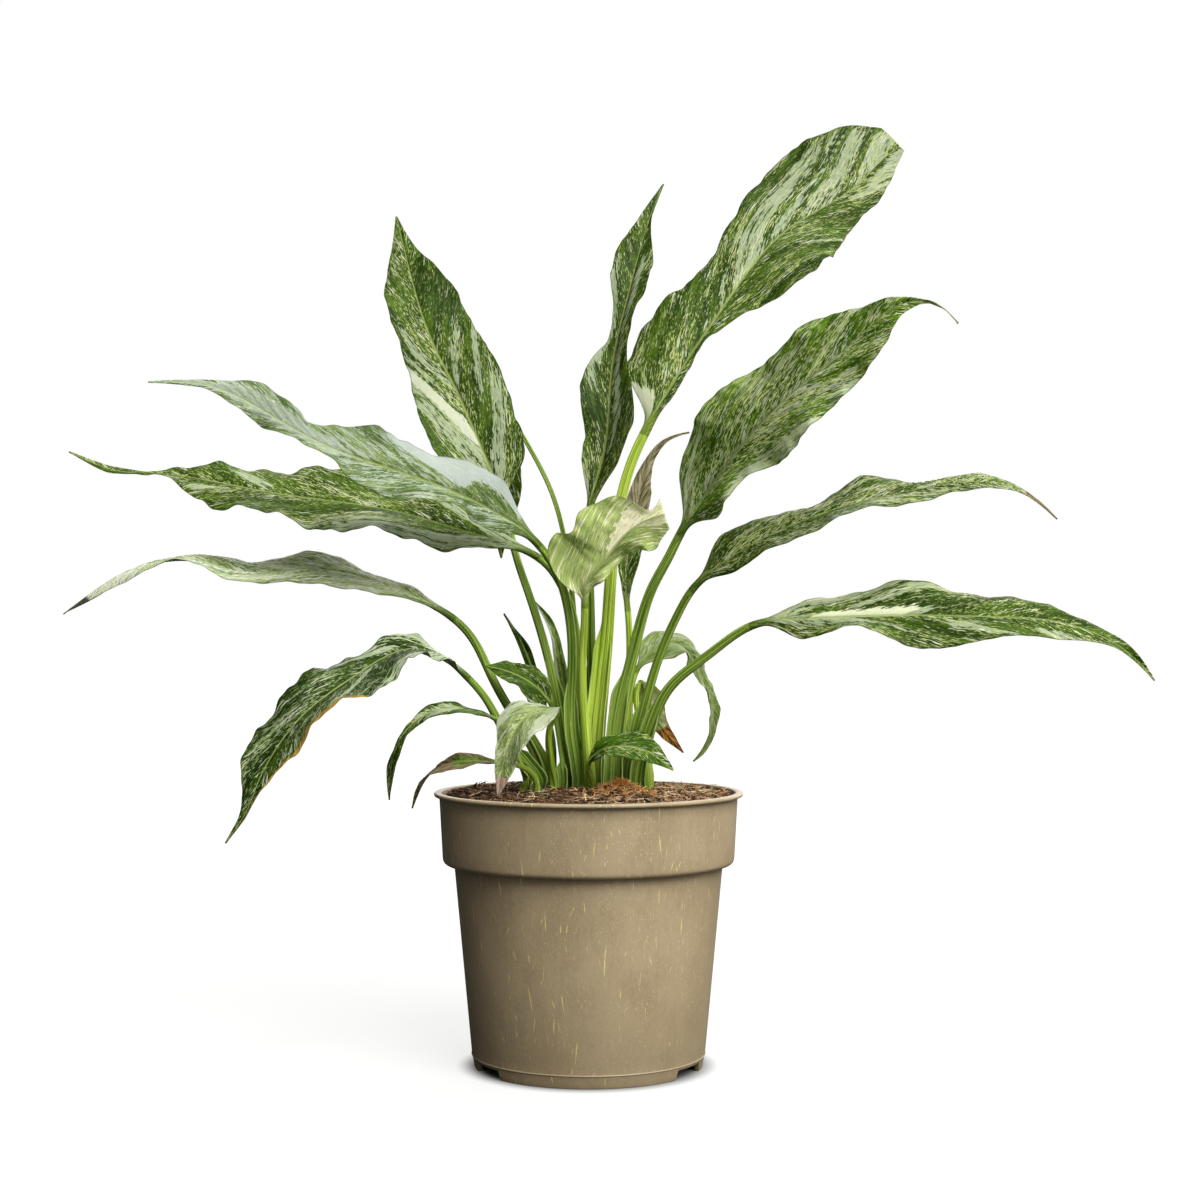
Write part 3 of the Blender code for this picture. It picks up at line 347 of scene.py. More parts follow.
class Leaf:
    """The middle line, widths, folds, waves and pleats of one leaf. A column is a share of the half width."""

    def __init__(self, root, stem, blade, left, right, face, fold, waves, stalk,
                 ends=(0.5, 0.5), rise=((0, 0), (0, 0)), pleats=0.35, seed=0):
        foot = [(*root, height) for height in PEG_HEIGHTS]
        self.line, marks = smooth_curve(foot + stem + blade)
        self.line[:marks[len(foot) - 1], :2] = root
        self.run = np.concatenate([[0], np.cumsum(np.linalg.norm(np.diff(self.line, axis=0), axis=1))])
        self.base = self.run[marks[len(foot) + len(stem)]]
        self.length = self.run[-1] - self.base
        self.half_widths = {-1: (0, *left, ends[0]), 1: (0, *right, ends[1])}
        self.rise = rise
        self.face = np.array(face * 2 if len(face) == 1 else face)
        self.fold, self.waves, self.stalk = fold, waves, stalk
        self.pleats, self.seed = pleats, seed

    def point(self, s):
        return np.stack([np.interp(s, self.run, self.line[:, k]) for k in range(3)], -1)

    def stations(self, stalk_rows, blade_rows):
        along = np.linspace(0, 1, blade_rows + 1)
        along = 0.9 * along + 0.1 * np.sin(along * np.pi / 2)
        stalk = np.linspace(PEG_HEIGHTS[1] - PEG_HEIGHTS[0], self.base, stalk_rows)[:-1]
        return np.concatenate([stalk, self.base + self.length * along])

    def frame(self, s):
        """Middle points, the ways along, up from the upper side and left, and the place on the blade."""
        along = unit(self.point(np.minimum(s + 1.5, self.run[-1])) - self.point(np.maximum(s - 1.5, 0)))
        place = np.clip((s - self.base) / self.length, 0, 1)
        marks = np.linspace(0, 1, len(self.face))
        up = np.stack([np.interp(place, marks, self.face[:, k]) for k in range(3)], -1)
        up = unit(up - (up * along).sum(-1, keepdims=True) * along)
        return self.point(s), along, up, np.cross(up, along), place

    def radius(self, s, place):
        """Radius of the stalk, and of the midrib that carries on from it."""
        soil_radius, neck_radius = self.stalk
        stalk = soil_radius + (neck_radius - soil_radius) * np.clip(s / self.base, 0, 1) ** 0.7
        return np.where(place > 0, np.maximum(neck_radius * (1 - place) ** 1.2, 0.3), stalk)

    def half_width(self, column, place, radius):
        side = -1 if column < 0 else 1
        widths = spread(self.half_widths[side], place)
        run = place * self.length
        nibble = np.sin(run * 0.29 + 2.1 * self.seed + side) + 0.3 * np.sin(run * 0.71 + self.seed) + 1.3
        widths = widths - NIBBLE_DEPTH * nibble * ease(widths / 10 - 0.6) * abs(column) ** 4
        return np.maximum(widths, np.maximum(radius, TIP_HALF_WIDTH))

    def middle(self, s, columns):
        """Points of the blade's middle sheet, a row a station, and each point's distance from the midrib."""
        centre, along, up, left, place = self.frame(s)
        angle = np.radians(self.fold[0] + (self.fold[1] - self.fold[0]) * place) * ease(place * 8)
        count, height, start_left, start_right = self.waves
        radius = self.radius(s, place)
        calm = ease(place * 5) * ease(3 - 3 * place)
        sheet, distances = [], []
        for column in columns:
            side, out = (-1, left) if column < 0 else (1, -left)
            reach = abs(column)
            half = self.half_width(column, place, radius)
            start = start_left if side < 0 else start_right
            swing = np.sin(TURN * (count * place + start))
            crimp = np.sin(TURN * (2.7 * count * place + 0.37 * self.seed + start * 2.3))
            ruffle = np.sin(TURN * (6.1 * count * place + 0.53 * self.seed + start * 1.7))
            wave = calm * height * (swing + 0.42 * crimp * reach ** 2 + 0.13 * ruffle * reach ** 3)
            rise = spread(self.rise[(side + 1) // 2], place)
            droop = 0.1 * half * ease(place * 8)
            swell = 0.9 * calm * np.sin(TURN * (1.7 * place + 0.21 * self.seed) + 2.2 * side * reach)
            lift = half * reach * np.sin(angle) - droop * reach ** 2 + (wave + rise) * reach ** 1.5
            lift = lift + swell * ease(reach * 2)
            sheet.append(centre + out * (half * reach * np.cos(angle))[:, None] + up * lift[:, None])
            distances.append(half * reach)
        return np.stack(sheet, 1), np.stack(distances, 1)

    def skins(self, s, columns):
        """Upper and lower skin: a round stalk that opens into a thin pleated blade with a midrib below."""
        columns = np.asarray(columns, float)
        centre, along, up, left, place = self.frame(s)
        sheet, across = self.middle(s, columns)
        normal = unit(np.cross(np.gradient(sheet, axis=1), np.gradient(sheet, axis=0)))
        normal *= np.sign((normal * up[:, None]).sum(-1).mean())
        radius = self.radius(s, place)[:, None]
        opened = ease(place / 0.14)[:, None]
        reach = np.abs(columns)
        foot = place[:, None] * self.length - vein_advance(across)
        calm = ease(reach * 4) * (1 - reach ** 4) * ease(4 - 4 * place)[:, None]
        pleat = np.sin(foot * TURN / PLEAT_GAP + self.seed) + 0.45 * np.sin(foot * TURN / FINE_PLEAT_GAP)
        pleat = self.pleats * calm * pleat
        groove = 0.7 * radius * opened * np.exp(-(across / 1.1) ** 2)
        rib = 1.25 * radius * opened * np.exp(-(across / (0.9 * radius + 0.3)) ** 2)
        half_thick = BLADE_THICK / 2 * (1 - 0.55 * reach ** 8)
        upper = sheet + normal * (half_thick + pleat - groove)[..., None]
        lower = sheet - normal * (half_thick - pleat + rib)[..., None]
        turn = np.pi * (0.06 + 0.88 * (columns + 1) / 2)
        around = -left[:, None] * (-radius * np.cos(turn))[..., None]
        channel = 1 - 0.35 * np.exp(-((turn - np.pi / 2) / 0.5) ** 2)
        swell = up[:, None] * (radius * np.sin(turn) * channel)[..., None]
        swell_below = up[:, None] * (radius * np.sin(turn))[..., None]
        opened = opened[..., None]
        upper = (centre[:, None] + around + swell) * (1 - opened) + upper * opened
        lower = (centre[:, None] + around - swell_below) * (1 - opened) + lower * opened
        return upper, lower, across


def soft_step(inside, width):
    """From 0 outside to 1 inside an edge that is as wide as this."""
    return ease(inside / width + 0.5)


def patch_field(patches, kind, side, foot, reach):
    """How far each point lies in the leaf's patches of one kind, from 0 to 1."""
    field = np.zeros(np.broadcast(foot, reach).shape)
    for sort, half, start, end, near, far in patches:
        if sort == kind:
            lengthways = soft_step(foot - start, PATCH_EDGE_ALONG) * soft_step(end - foot, PATCH_EDGE_ALONG)
            sideways = soft_step(reach - near, PATCH_EDGE_ACROSS) * soft_step(far - reach, PATCH_EDGE_ACROSS)
            shown = lengthways * sideways * np.isin(side, (half, 0) if half else (-1, 0, 1))
            field = np.maximum(field, shown)
    return field


def ring(above, below=None):
    """Rows round a shell, along its upper side and back along its lower side, which may hold the same."""
    below = above if below is None else below
    return np.concatenate([above, below[:, ::-1]], axis=1)


def loft(name, shells):
    """One mesh of closed shells, with the chart of its veins, the chart of its blade and its fields."""
    faces, charts = [], {"veins": [], "blade": []}
    start = 0
    for shell in shells:
        rows, around = shell["points"].shape[:2]
        width = around // 2
        grid = start + np.arange(rows * around).reshape(rows, around)
        near, far = grid[:-1], grid[1:]
        quads = np.stack([near, np.roll(near, -1, 1), np.roll(far, -1, 1), far], -1)
        order = np.concatenate([np.arange(width), np.arange(width)[::-1]])
        on_left = (order + np.roll(order, -1)) / 2 < (width - 1) // 2
        parts = [(quads[:, on_left].reshape(-1, 4), "left"), (quads[:, ~on_left].reshape(-1, 4), "right")]
        for end, way in ((grid[0], -1), (grid[-1], 1)):
            cap = np.stack([end[:width - 1], end[1:width], end[::-1][1:width], end[::-1][:width - 1]], -1)
            parts.append((cap[:, ::way], "left"))
        for part, side in parts:
            faces.append(part)
            for chart, key in (("veins", side), ("blade", "place")):
                charts[chart].append(shell[key].reshape(-1, 2)[part.ravel() - start])
        start += rows * around
    mesh = bpy.data.meshes.new(name)
    points = np.concatenate([shell["points"].reshape(-1, 3) for shell in shells])
    mesh.from_pydata(points * MM, [], np.concatenate(faces))
    for key, corners in charts.items():
        layer = mesh.uv_layers.new(name=key)
        layer.data.foreach_set("uv", np.concatenate(corners).astype(np.float32).ravel())
    for key in FIELD_KEYS:
        give_field(mesh, key, np.concatenate([shell[key].ravel() for shell in shells]))
    mesh.update()
    mesh.shade_smooth()
    return mesh


def give_field(mesh, name, values):
    made = mesh.attributes.new(name, "FLOAT", "POINT")
    made.data.foreach_set("value", np.asarray(values, np.float32))


def colour(red, green, blue):
    """A colour as a paint chart gives it, from 0 to 255, in the light values that shaders take."""
    shares = [value / 255 for value in (red, green, blue)]
    return tuple(s / 12.92 if s <= 0.04045 else ((s + 0.055) / 1.055) ** 2.4 for s in shares)


def operator(operation, swapped=False):
    def apply(self, other):
        pair = (other, self) if swapped else (self, other)
        return self.finish.maths(operation, *pair)
    return apply


class Wire:
    """A value that runs through a finish, on which sums are written as on a number."""

    def __init__(self, finish, socket):
        self.finish, self.socket = finish, socket

    __add__ = __radd__ = operator("ADD")
    __mul__ = __rmul__ = operator("MULTIPLY")
    __sub__ = operator("SUBTRACT")
    __rsub__ = operator("SUBTRACT", swapped=True)
    __truediv__ = operator("DIVIDE")
    __rtruediv__ = operator("DIVIDE", swapped=True)


class Finish:
    """A material, built up node by node."""

    def __init__(self, name, roughness=0.5, specular=0.5):
        self.material = bpy.data.materials.new(name)
        self.material.use_nodes = True
        self.tree = self.material.node_tree
        self.shader = self.tree.nodes["Principled BSDF"]
        self.shader.inputs["Roughness"].default_value = roughness
        self.shader.inputs["Specular IOR Level"].default_value = specular

    def node(self, kind, settings, sockets, output=0):
        """Adds a node, with its settings made first, and returns the wire from one of its outputs."""
        made = self.tree.nodes.new("ShaderNode" + kind)
        for key, value in settings.items():
            setattr(made, key, value)
        for key, value in sockets.items():
            self.join(made.inputs[key], value)
        return Wire(self, made.outputs[output])

    def join(self, socket, value):
        if isinstance(value, Wire):
            self.tree.links.new(value.socket, socket)
        elif socket.type == "RGBA":
            socket.default_value = (*value, 1)
        else:
            socket.default_value = value

    def maths(self, operation, *values):
        return self.node("Math", {"operation": operation}, dict(enumerate(values)))

    def steps(self, value, low, high):
        """0 below low, 1 above high and smooth between."""
        return self.node("MapRange", {"interpolation_type": "SMOOTHSTEP"},
                         {"Value": value, "From Min": low, "From Max": high})

    def mix(self, share, first, second):
        return self.node("Mix", {"data_type": "RGBA"}, {0: share, 6: first, 7: second}, output=2)

    def split(self, vector):
        return [self.node("SeparateXYZ", {}, {0: vector}, output=axis) for axis in range(3)]

    def vector(self, x, y, z):
        return self.node("CombineXYZ", {}, {0: x, 1: y, 2: z})

    def noise(self, x, y, z, detail=2.0, rough=0.5):
        return self.node("TexNoise", {}, {"Vector": self.vector(x, y, z), "Scale": 1.0, "Detail": detail,
                                          "Roughness": rough})

    def field(self, name):
        return self.node("Attribute", {"attribute_name": name}, {}, output=2)

    def chart(self, name):
        return self.node("UVMap", {"uv_map": name}, {})

    def place(self):
        """X, Y and Z of the surface, in millimetres."""
        return [axis * 1000 for axis in self.split(self.node("TexCoord", {}, {}, output=3))]

    def bump(self, height, distance, strength=1.0):
        return self.node("Bump", {}, {"Strength": strength, "Distance": distance, "Height": height})

    def finish(self, **sockets):
        for key, value in sockets.items():
            self.join(self.shader.inputs[key.replace("_", " ")], value)
        return self.material


def leaf_finish(name, look, seed):
    """Green blade with cream flecks, silver and cream fields along its side veins, and a striped stalk with
    painted shade at its foot.
    """
    f = Finish(name, specular=0.08)
    f.shader.inputs["Subsurface Weight"].default_value = 0.5
    f.shader.inputs["Subsurface Radius"].default_value = (0.8, 1.0, 0.35)
    f.shader.inputs["Subsurface Scale"].default_value = 0.0012
    u, v, _ = f.split(f.chart("veins"))
    u, v = u * 100, v * 100
    column, place, _ = f.split(f.chart("blade"))
    shift = 13.7 * seed

    def streaks(width, length, layer, detail=2.0):
        return f.noise(u / width, v / length, shift + 5.3 * layer, detail)

    broad, fine, hair = streaks(7, 34, 1), streaks(1.1, 5.5, 2), streaks(0.55, 16, 3, 1.0)
    base = f.mix(f.steps(broad * 0.5 + fine * 0.5, 0.42, 0.6), look["dark"], look["light"])
    base = f.mix(f.steps(hair, 0.45, 0.75) * 0.35, base, look["light"])

    ragged = (streaks(3.8, 20, 4) - 0.5) * 1.5 + (streaks(1.0, 4.5, 5, 3.0) - 0.5) * 1.6
    silver = f.steps(f.field("silver") * 0.62 + look["silver"] + ragged, 0.42, 0.5)
    specks = f.steps(streaks(0.8, 3.5, 6, 3.0), 0.56, 0.64)
    silver_colour = f.mix(specks * 0.75, look["silver_colour"], look["silver_shade"])
    silver_colour = f.mix(f.steps(hair, 0.5, 0.7) * 0.45, silver_colour, look["cream_colour"])
    base = f.mix(silver * look["silver_strength"], base, silver_colour)

    cream = f.steps(f.field("cream") * 1.1 + ragged * 0.8, 0.46, 0.54)
    cream_colour = f.mix(specks * 0.3, look["cream_colour"], look["silver_colour"])
    base = f.mix(cream, base, cream_colour)

    clumps = (streaks(13, 30, 7) - 0.5) * 0.36
    most = 0.7 - 0.12 * look["flecks"]
    flecks = f.steps(streaks(0.7, 1.8, 8, 1.0) + clumps, most - 0.02, most + 0.05)
    threads = f.steps(streaks(0.75, 3.6, 12, 1.0) + clumps, most + 0.01, most + 0.06)
    dashes = f.steps(streaks(1.2, 8, 9, 1.0) + clumps, most + 0.035, most + 0.07)
    flecks = f.maths("MAXIMUM", flecks * 0.75, threads * 0.85)
    base = f.mix(flecks, base, look["fleck_colour"])
    base = f.mix(dashes * 0.9, base, look["cream_colour"])

    margin = f.steps(f.maths("ABSOLUTE", column), 0.95, 0.99)
    base = f.mix(margin * 0.5, base, look["margin"])
    under = f.field("under")
    base = f.mix(under * look["under"], base, look["under_colour"])

    rib_width = 1.35 - place * 1.0
    rib = (1 - f.steps(v * 0.5, rib_width * 0.45, rib_width)) * look["rib"]
    base = f.mix(rib, base, look["rib_colour"])

    dry = f.steps(f.field("dry") + (streaks(2.2, 12, 10) - 0.5) * 0.7, 0.32, 0.62)
    dead = f.mix(f.steps(fine, 0.4, 0.6), look["dry_colour"], look["dry_shade"])
    base = f.mix(dry * 0.92, base, dead)

    stripes = f.noise(u / 0.75, v / 70, shift + 60, 2.0)
    # painted shade: the stalks darken towards the soil, where they crowd together under the leaves
    foot = f.steps(v, 12, 60)
    stalk = f.mix(f.steps(stripes, 0.38, 0.62), look["stalk_shade"], look["stalk_colour"])
    stalk = f.mix((1 - foot) * 0.6, stalk, colour(46, 72, 12))
    stalk = f.mix(f.steps(f.noise(u / 0.4, v / 5, shift + 66), 0.66, 0.72) * 0.5, stalk, look["fleck_colour"])
    stalk = f.mix(f.field("pale") * 0.6, stalk, colour(198, 208, 140))
    on_stalk = f.field("stalk")
    base = f.mix(on_stalk, base, stalk)

    height = streaks(1.6, 60, 13) * 1.1 + fine * 0.8 + flecks * 0.4 - rib * 0.8
    normal = f.bump(height * (1 - on_stalk) + stripes * on_stalk, 0.00022, 0.8)
    rough = 0.40 + fine * 0.12 + under * 0.12 + dry * 0.2
    return f.finish(Base_Color=base, Roughness=rough, Normal=normal)


def blade_shell(leaf, s, columns, look):
    """The stalk and blade as one shell, with what the leaf's finish reads."""
    upper, lower, across = leaf.skins(s, columns)
    columns = np.asarray(columns, float)
    place = ((s - leaf.base) / leaf.length)[:, None] + 0 * across
    reach, side = np.abs(columns) + 0 * across, np.sign(columns) + 0 * across
    turn = np.pi * (0.06 + 0.88 * (columns + 1) / 2)
    radius = leaf.radius(s, np.clip(place[:, 0], 0, 1))[:, None]
    on_stalk = place < 0.0
    foot = place * leaf.length - vein_advance(across)
    shell = {"points": ring(upper, lower), "place": ring(np.stack([columns + 0 * across, place], -1))}
    along_vein = np.where(on_stalk, s[:, None], 2 * across)
    for key, shift, behind in (("left", 0, -turn), ("right", 700, TURN - turn)):
        above = np.where(on_stalk, 1500 + turn * radius, shift + 0.5 * foot)
        below = np.where(on_stalk, 1500 + behind * radius, shift + 300 + 0.5 * foot)
        shell[key] = ring(*(np.stack([u, along_vein], -1) / 100 for u in (above, below)))
    foot = foot / leaf.length
    silver, cream, cream_across, green, dry = (
        patch_field(look["patches"], kind, side, where, reach) for kind, where in (
            ("silver", foot), ("cream", foot), ("cream_across", place), ("green_across", place),
            ("dry", place)))
    shell["silver"] = ring(silver - 1.3 * green)
    shell["cream"] = ring(np.maximum(cream, cream_across) - 1.3 * green)
    shell["dry"], shell["stalk"] = ring(dry), ring(ease(1 - (place - 0.01) / 0.07))
    shell["under"], shell["pale"] = ring(0 * across, 1 + 0 * across), ring(0 * across)
    return shell


def sheath_shell(leaf, side, share, width):
    """The thin pale margin of the sheath up one side of a stalk, ending in a point."""
    s = np.linspace(PEG_HEIGHTS[1] - PEG_HEIGHTS[0], leaf.base * share, SHEATH_ROWS)
    centre, along, up, left, place = leaf.frame(s)
    radius = leaf.radius(s, place)[:, None]
    part = np.linspace(0, 1, SHEATH_ROWS)[:, None]
    reach = np.array([-0.5, 0.25, 0.7, 1.0])
    wide = width * ease((1 - part) * 5) * (1 + 0.12 * np.sin(7 * part + leaf.seed))
    crinkle = 0.15 * np.sin(23 * part + 2 * leaf.seed) * reach ** 2
    out = 0.86 * radius + 0.45 * wide * reach + crinkle * 0.6
    lift = 0.45 * radius + 0.9 * wide * reach
    sheet = centre[:, None] - side * left[:, None] * out[..., None] + up[:, None] * lift[..., None]
    sheet = sheet[:, ::side]
    normal = unit(np.cross(np.gradient(sheet, axis=1), np.gradient(sheet, axis=0)))
    mark = np.broadcast_to(reach[::side], (SHEATH_ROWS, len(reach)))
    veins = np.stack([1800 + 9 * mark * side, s[:, None] + 0 * mark], -1) / 100
    zero = 0 * mark
    shell = {key: ring(zero) for key in FIELD_KEYS}
    shell.update(points=ring(sheet + normal * SHEATH_THICK / 2, sheet - normal * SHEATH_THICK / 2),
                 left=ring(veins), right=ring(veins), place=ring(np.stack([zero, zero - 0.5], -1)),
                 stalk=ring(zero + 1), pale=ring(0.6 * ease(mark * 3 - 2)))
    return shell


def make_leaf(name, spec, look, seed):
    """A fine leaf in the place of its solid."""
    leaf = Leaf(**spec, pleats=look["pleats"], seed=seed)
    half, row_gap = (COLUMNS, 1.5) if leaf.length > LARGE_BLADE else (SMALL_COLUMNS, 1.6)
    columns = [-c for c in reversed(half)] + [0] + list(half)
    s = leaf.stations(int(leaf.base / 4) + 4, int(leaf.length / row_gap) + 12)
    shells = [blade_shell(leaf, s, columns, look)]
    if look["sheath"]:
        shells += [sheath_shell(leaf, -1, look["sheath"], look["wing"]),
                   sheath_shell(leaf, 1, look["sheath"] * 0.93, look["wing"])]
    piece = bpy.data.objects.new(name + "_fine", loft(name + "_fine", shells))
    bpy.context.scene.collection.objects.link(piece)
    piece.data.materials.append(leaf_finish(name + "_finish", look, seed))
    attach(piece, "root")
    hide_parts(name)
    return piece


RIM_RADIUS = 85.0
RIM_HEIGHT = 150.0
BEAD_HEIGHT = 2.3
COLLAR_TOP_RADIUS = 82.2
COLLAR_FOOT_RADIUS = 80.0
COLLAR_FOOT = 110.7
BODY_TOP_RADIUS = 73.4
BODY_TOP = 106.0
SEAM_RADIUS = 64.0
SEAM_HEIGHT = 6.7
FOOT_RADIUS = 62.4
WALL = 1.3
FLOOR_UNDERSIDE = 6.0
FLOOR_TOP = 7.6
SKIRT_WALL = 2.2
NOTCH_HALF_ANGLE = 14
NOTCH_HEIGHT = 5.4
NOTCH_ANGLES = (60, 180, 300)
DRAIN_RADIUS = 4.5
DRAIN_CIRCLE_RADIUS = 44.0
POT_SIDES = 180


def start_piece():
    if bpy.context.mode != "OBJECT":
        bpy.ops.object.mode_set(mode="OBJECT")
    bpy.ops.object.select_all(action="DESELECT")


def end_piece(piece):
    """Applies the piece's place and puts it in for the solid of its name."""
    bpy.ops.object.mode_set(mode="OBJECT")
    piece.select_set(True)
    bpy.ops.object.transform_apply(location=True, rotation=True, scale=True)
    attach(piece, "root")
    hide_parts(piece.name.removesuffix("_fine"))


def raised(name, profile, sides):
    """A closed round piece drawn out ring by ring from a circle, through radii and heights in millimetres."""
    start_piece()
    radius, height = profile[0]
    bpy.ops.mesh.primitive_circle_add(vertices=sides, radius=radius * MM, location=(0, 0, height * MM))
    piece = bpy.context.object
    piece.name = name
    bpy.ops.object.transform_apply(location=True)
    bpy.ops.object.mode_set(mode="EDIT")
    bpy.ops.mesh.select_all(action="SELECT")
    for wide, high in profile[1:]:
        bpy.ops.mesh.extrude_region_move(TRANSFORM_OT_translate={"value": (0, 0, (high - height) * MM)})
        bpy.ops.transform.resize(value=(wide / radius, wide / radius, 1), center_override=(0, 0, 0))
        radius, height = wide, high
    bpy.ops.mesh.edge_face_add()
    bpy.ops.mesh.select_all(action="DESELECT")
    bpy.ops.mesh.select_mode(type="EDGE")
    bpy.ops.mesh.select_non_manifold()
    bpy.ops.mesh.edge_face_add()
    bpy.ops.mesh.select_all(action="SELECT")
    bpy.ops.mesh.normals_make_consistent(inside=False)
    bpy.ops.object.mode_set(mode="OBJECT")
    return piece


def apply_modifier(piece, kind, **settings):
    bpy.context.view_layer.objects.active = piece
    made = piece.modifiers.new(kind.lower(), kind)
    for key, value in settings.items():
        setattr(made, key, value)
    bpy.ops.object.modifier_apply(modifier=made.name)


def cut_away(piece, tool):
    apply_modifier(piece, "BOOLEAN", operation="DIFFERENCE", solver="EXACT", object=tool)
    bpy.data.objects.remove(tool)


def wall_radius(height):
    """Outer radius of the pot's wall at a height, in millimetres."""
    if height > COLLAR_FOOT:
        share = (height - COLLAR_FOOT) / (RIM_HEIGHT - COLLAR_FOOT)
        return COLLAR_FOOT_RADIUS + share * (COLLAR_TOP_RADIUS - COLLAR_FOOT_RADIUS)
    share = (height - SEAM_HEIGHT) / (BODY_TOP - SEAM_HEIGHT)
    return SEAM_RADIUS + share * (BODY_TOP_RADIUS - SEAM_RADIUS)


def arc(centre_radius, centre_height, size, start, end, steps):
    """Points of a quarter or half round in the profile. 0 degrees is up and 90 is outwards."""
    turns = np.radians(np.linspace(start, end, steps))
    return [(centre_radius + size * math.sin(a), centre_height + size * math.cos(a)) for a in turns]


def pot_profile():
    bead = BEAD_HEIGHT / 2
    inside = [(8, FLOOR_TOP), (wall_radius(FLOOR_TOP + 2) - WALL - 2, FLOOR_TOP),
              (wall_radius(FLOOR_TOP + 2) - WALL, FLOOR_TOP + 2),
              (BODY_TOP_RADIUS - WALL, COLLAR_FOOT + WALL - 0.3),
              (COLLAR_FOOT_RADIUS - WALL, COLLAR_FOOT + WALL + 0.5)]
    inside += [(wall_radius(h) - WALL, h) for h in (120, 130, 140, 146)]
    rim = arc(RIM_RADIUS - bead - 2.1, RIM_HEIGHT - 0.9, 0.9, -80, 0, 5)
    rim += arc(RIM_RADIUS - bead, RIM_HEIGHT - bead, bead, 0, 180, 11)
    neck = wall_radius(RIM_HEIGHT - BEAD_HEIGHT)
    collar = [(neck + 0.25, RIM_HEIGHT - BEAD_HEIGHT - 0.05), (neck, RIM_HEIGHT - BEAD_HEIGHT - 0.4)]
    collar += [(wall_radius(h), h) for h in (140, 130, 120, COLLAR_FOOT + 3.4)]
    collar += arc(COLLAR_FOOT_RADIUS - 2.9, COLLAR_FOOT + 3.0, 3.0, 92, 178, 8)
    under = [(BODY_TOP_RADIUS + 1.6, COLLAR_FOOT - 0.1), (BODY_TOP_RADIUS + 0.7, COLLAR_FOOT - 0.7),
             (BODY_TOP_RADIUS + 0.35, COLLAR_FOOT - 1.8)]
    body = [(wall_radius(h), h) for h in (BODY_TOP, 92, 78, 64, 50, 36, 22, 12, SEAM_HEIGHT + 1.0)]
    seam = [(SEAM_RADIUS + 0.1, SEAM_HEIGHT + 0.75), (SEAM_RADIUS + 0.34, SEAM_HEIGHT + 0.45),
            (SEAM_RADIUS + 0.3, SEAM_HEIGHT + 0.2), (SEAM_RADIUS - 0.1, SEAM_HEIGHT - 0.1)]
    foot = [(FOOT_RADIUS + 0.7, 3), (FOOT_RADIUS + 0.4, 0.9), (FOOT_RADIUS + 0.1, 0.25),
            (FOOT_RADIUS - 0.5, 0), (FOOT_RADIUS - SKIRT_WALL, 0),
            (FOOT_RADIUS - SKIRT_WALL, FLOOR_UNDERSIDE), (8, FLOOR_UNDERSIDE)]
    return inside + rim + collar + under + body + seam + foot


def make_pot():
    pot = raised("pot_fine", pot_profile(), POT_SIDES)
    for angle in NOTCH_ANGLES:
        turn = math.radians(angle - 90)
        way = Vector((math.cos(turn), math.sin(turn), 0))
        start_piece()
        bpy.ops.mesh.primitive_cube_add(size=1, location=way * (RIM_RADIUS + DRAIN_CIRCLE_RADIUS) / 2 * MM,
                                        rotation=(0, 0, turn))
        notch = bpy.context.object
        width = 2 * FOOT_RADIUS * math.sin(math.radians(NOTCH_HALF_ANGLE))
        notch.scale = ((RIM_RADIUS - DRAIN_CIRCLE_RADIUS) * MM, width * MM, 2 * NOTCH_HEIGHT * MM)
        for vert in notch.data.vertices:
            if vert.co.z > 0:
                vert.co.y *= 0.8
        cut_away(pot, notch)
        start_piece()
        bpy.ops.mesh.primitive_cylinder_add(vertices=32, radius=DRAIN_RADIUS * MM, depth=0.02,
                                            location=way * DRAIN_CIRCLE_RADIUS * MM)
        cut_away(pot, bpy.context.object)
    apply_modifier(pot, "BEVEL", width=0.3 * MM, segments=2, limit_method="ANGLE",
                   angle_limit=math.radians(50))
    start_piece()
    pot.select_set(True)
    bpy.context.view_layer.objects.active = pot
    bpy.ops.object.shade_smooth_by_angle(angle=math.radians(38))
    pot.data.materials.append(pot_finish())
    end_piece(pot)


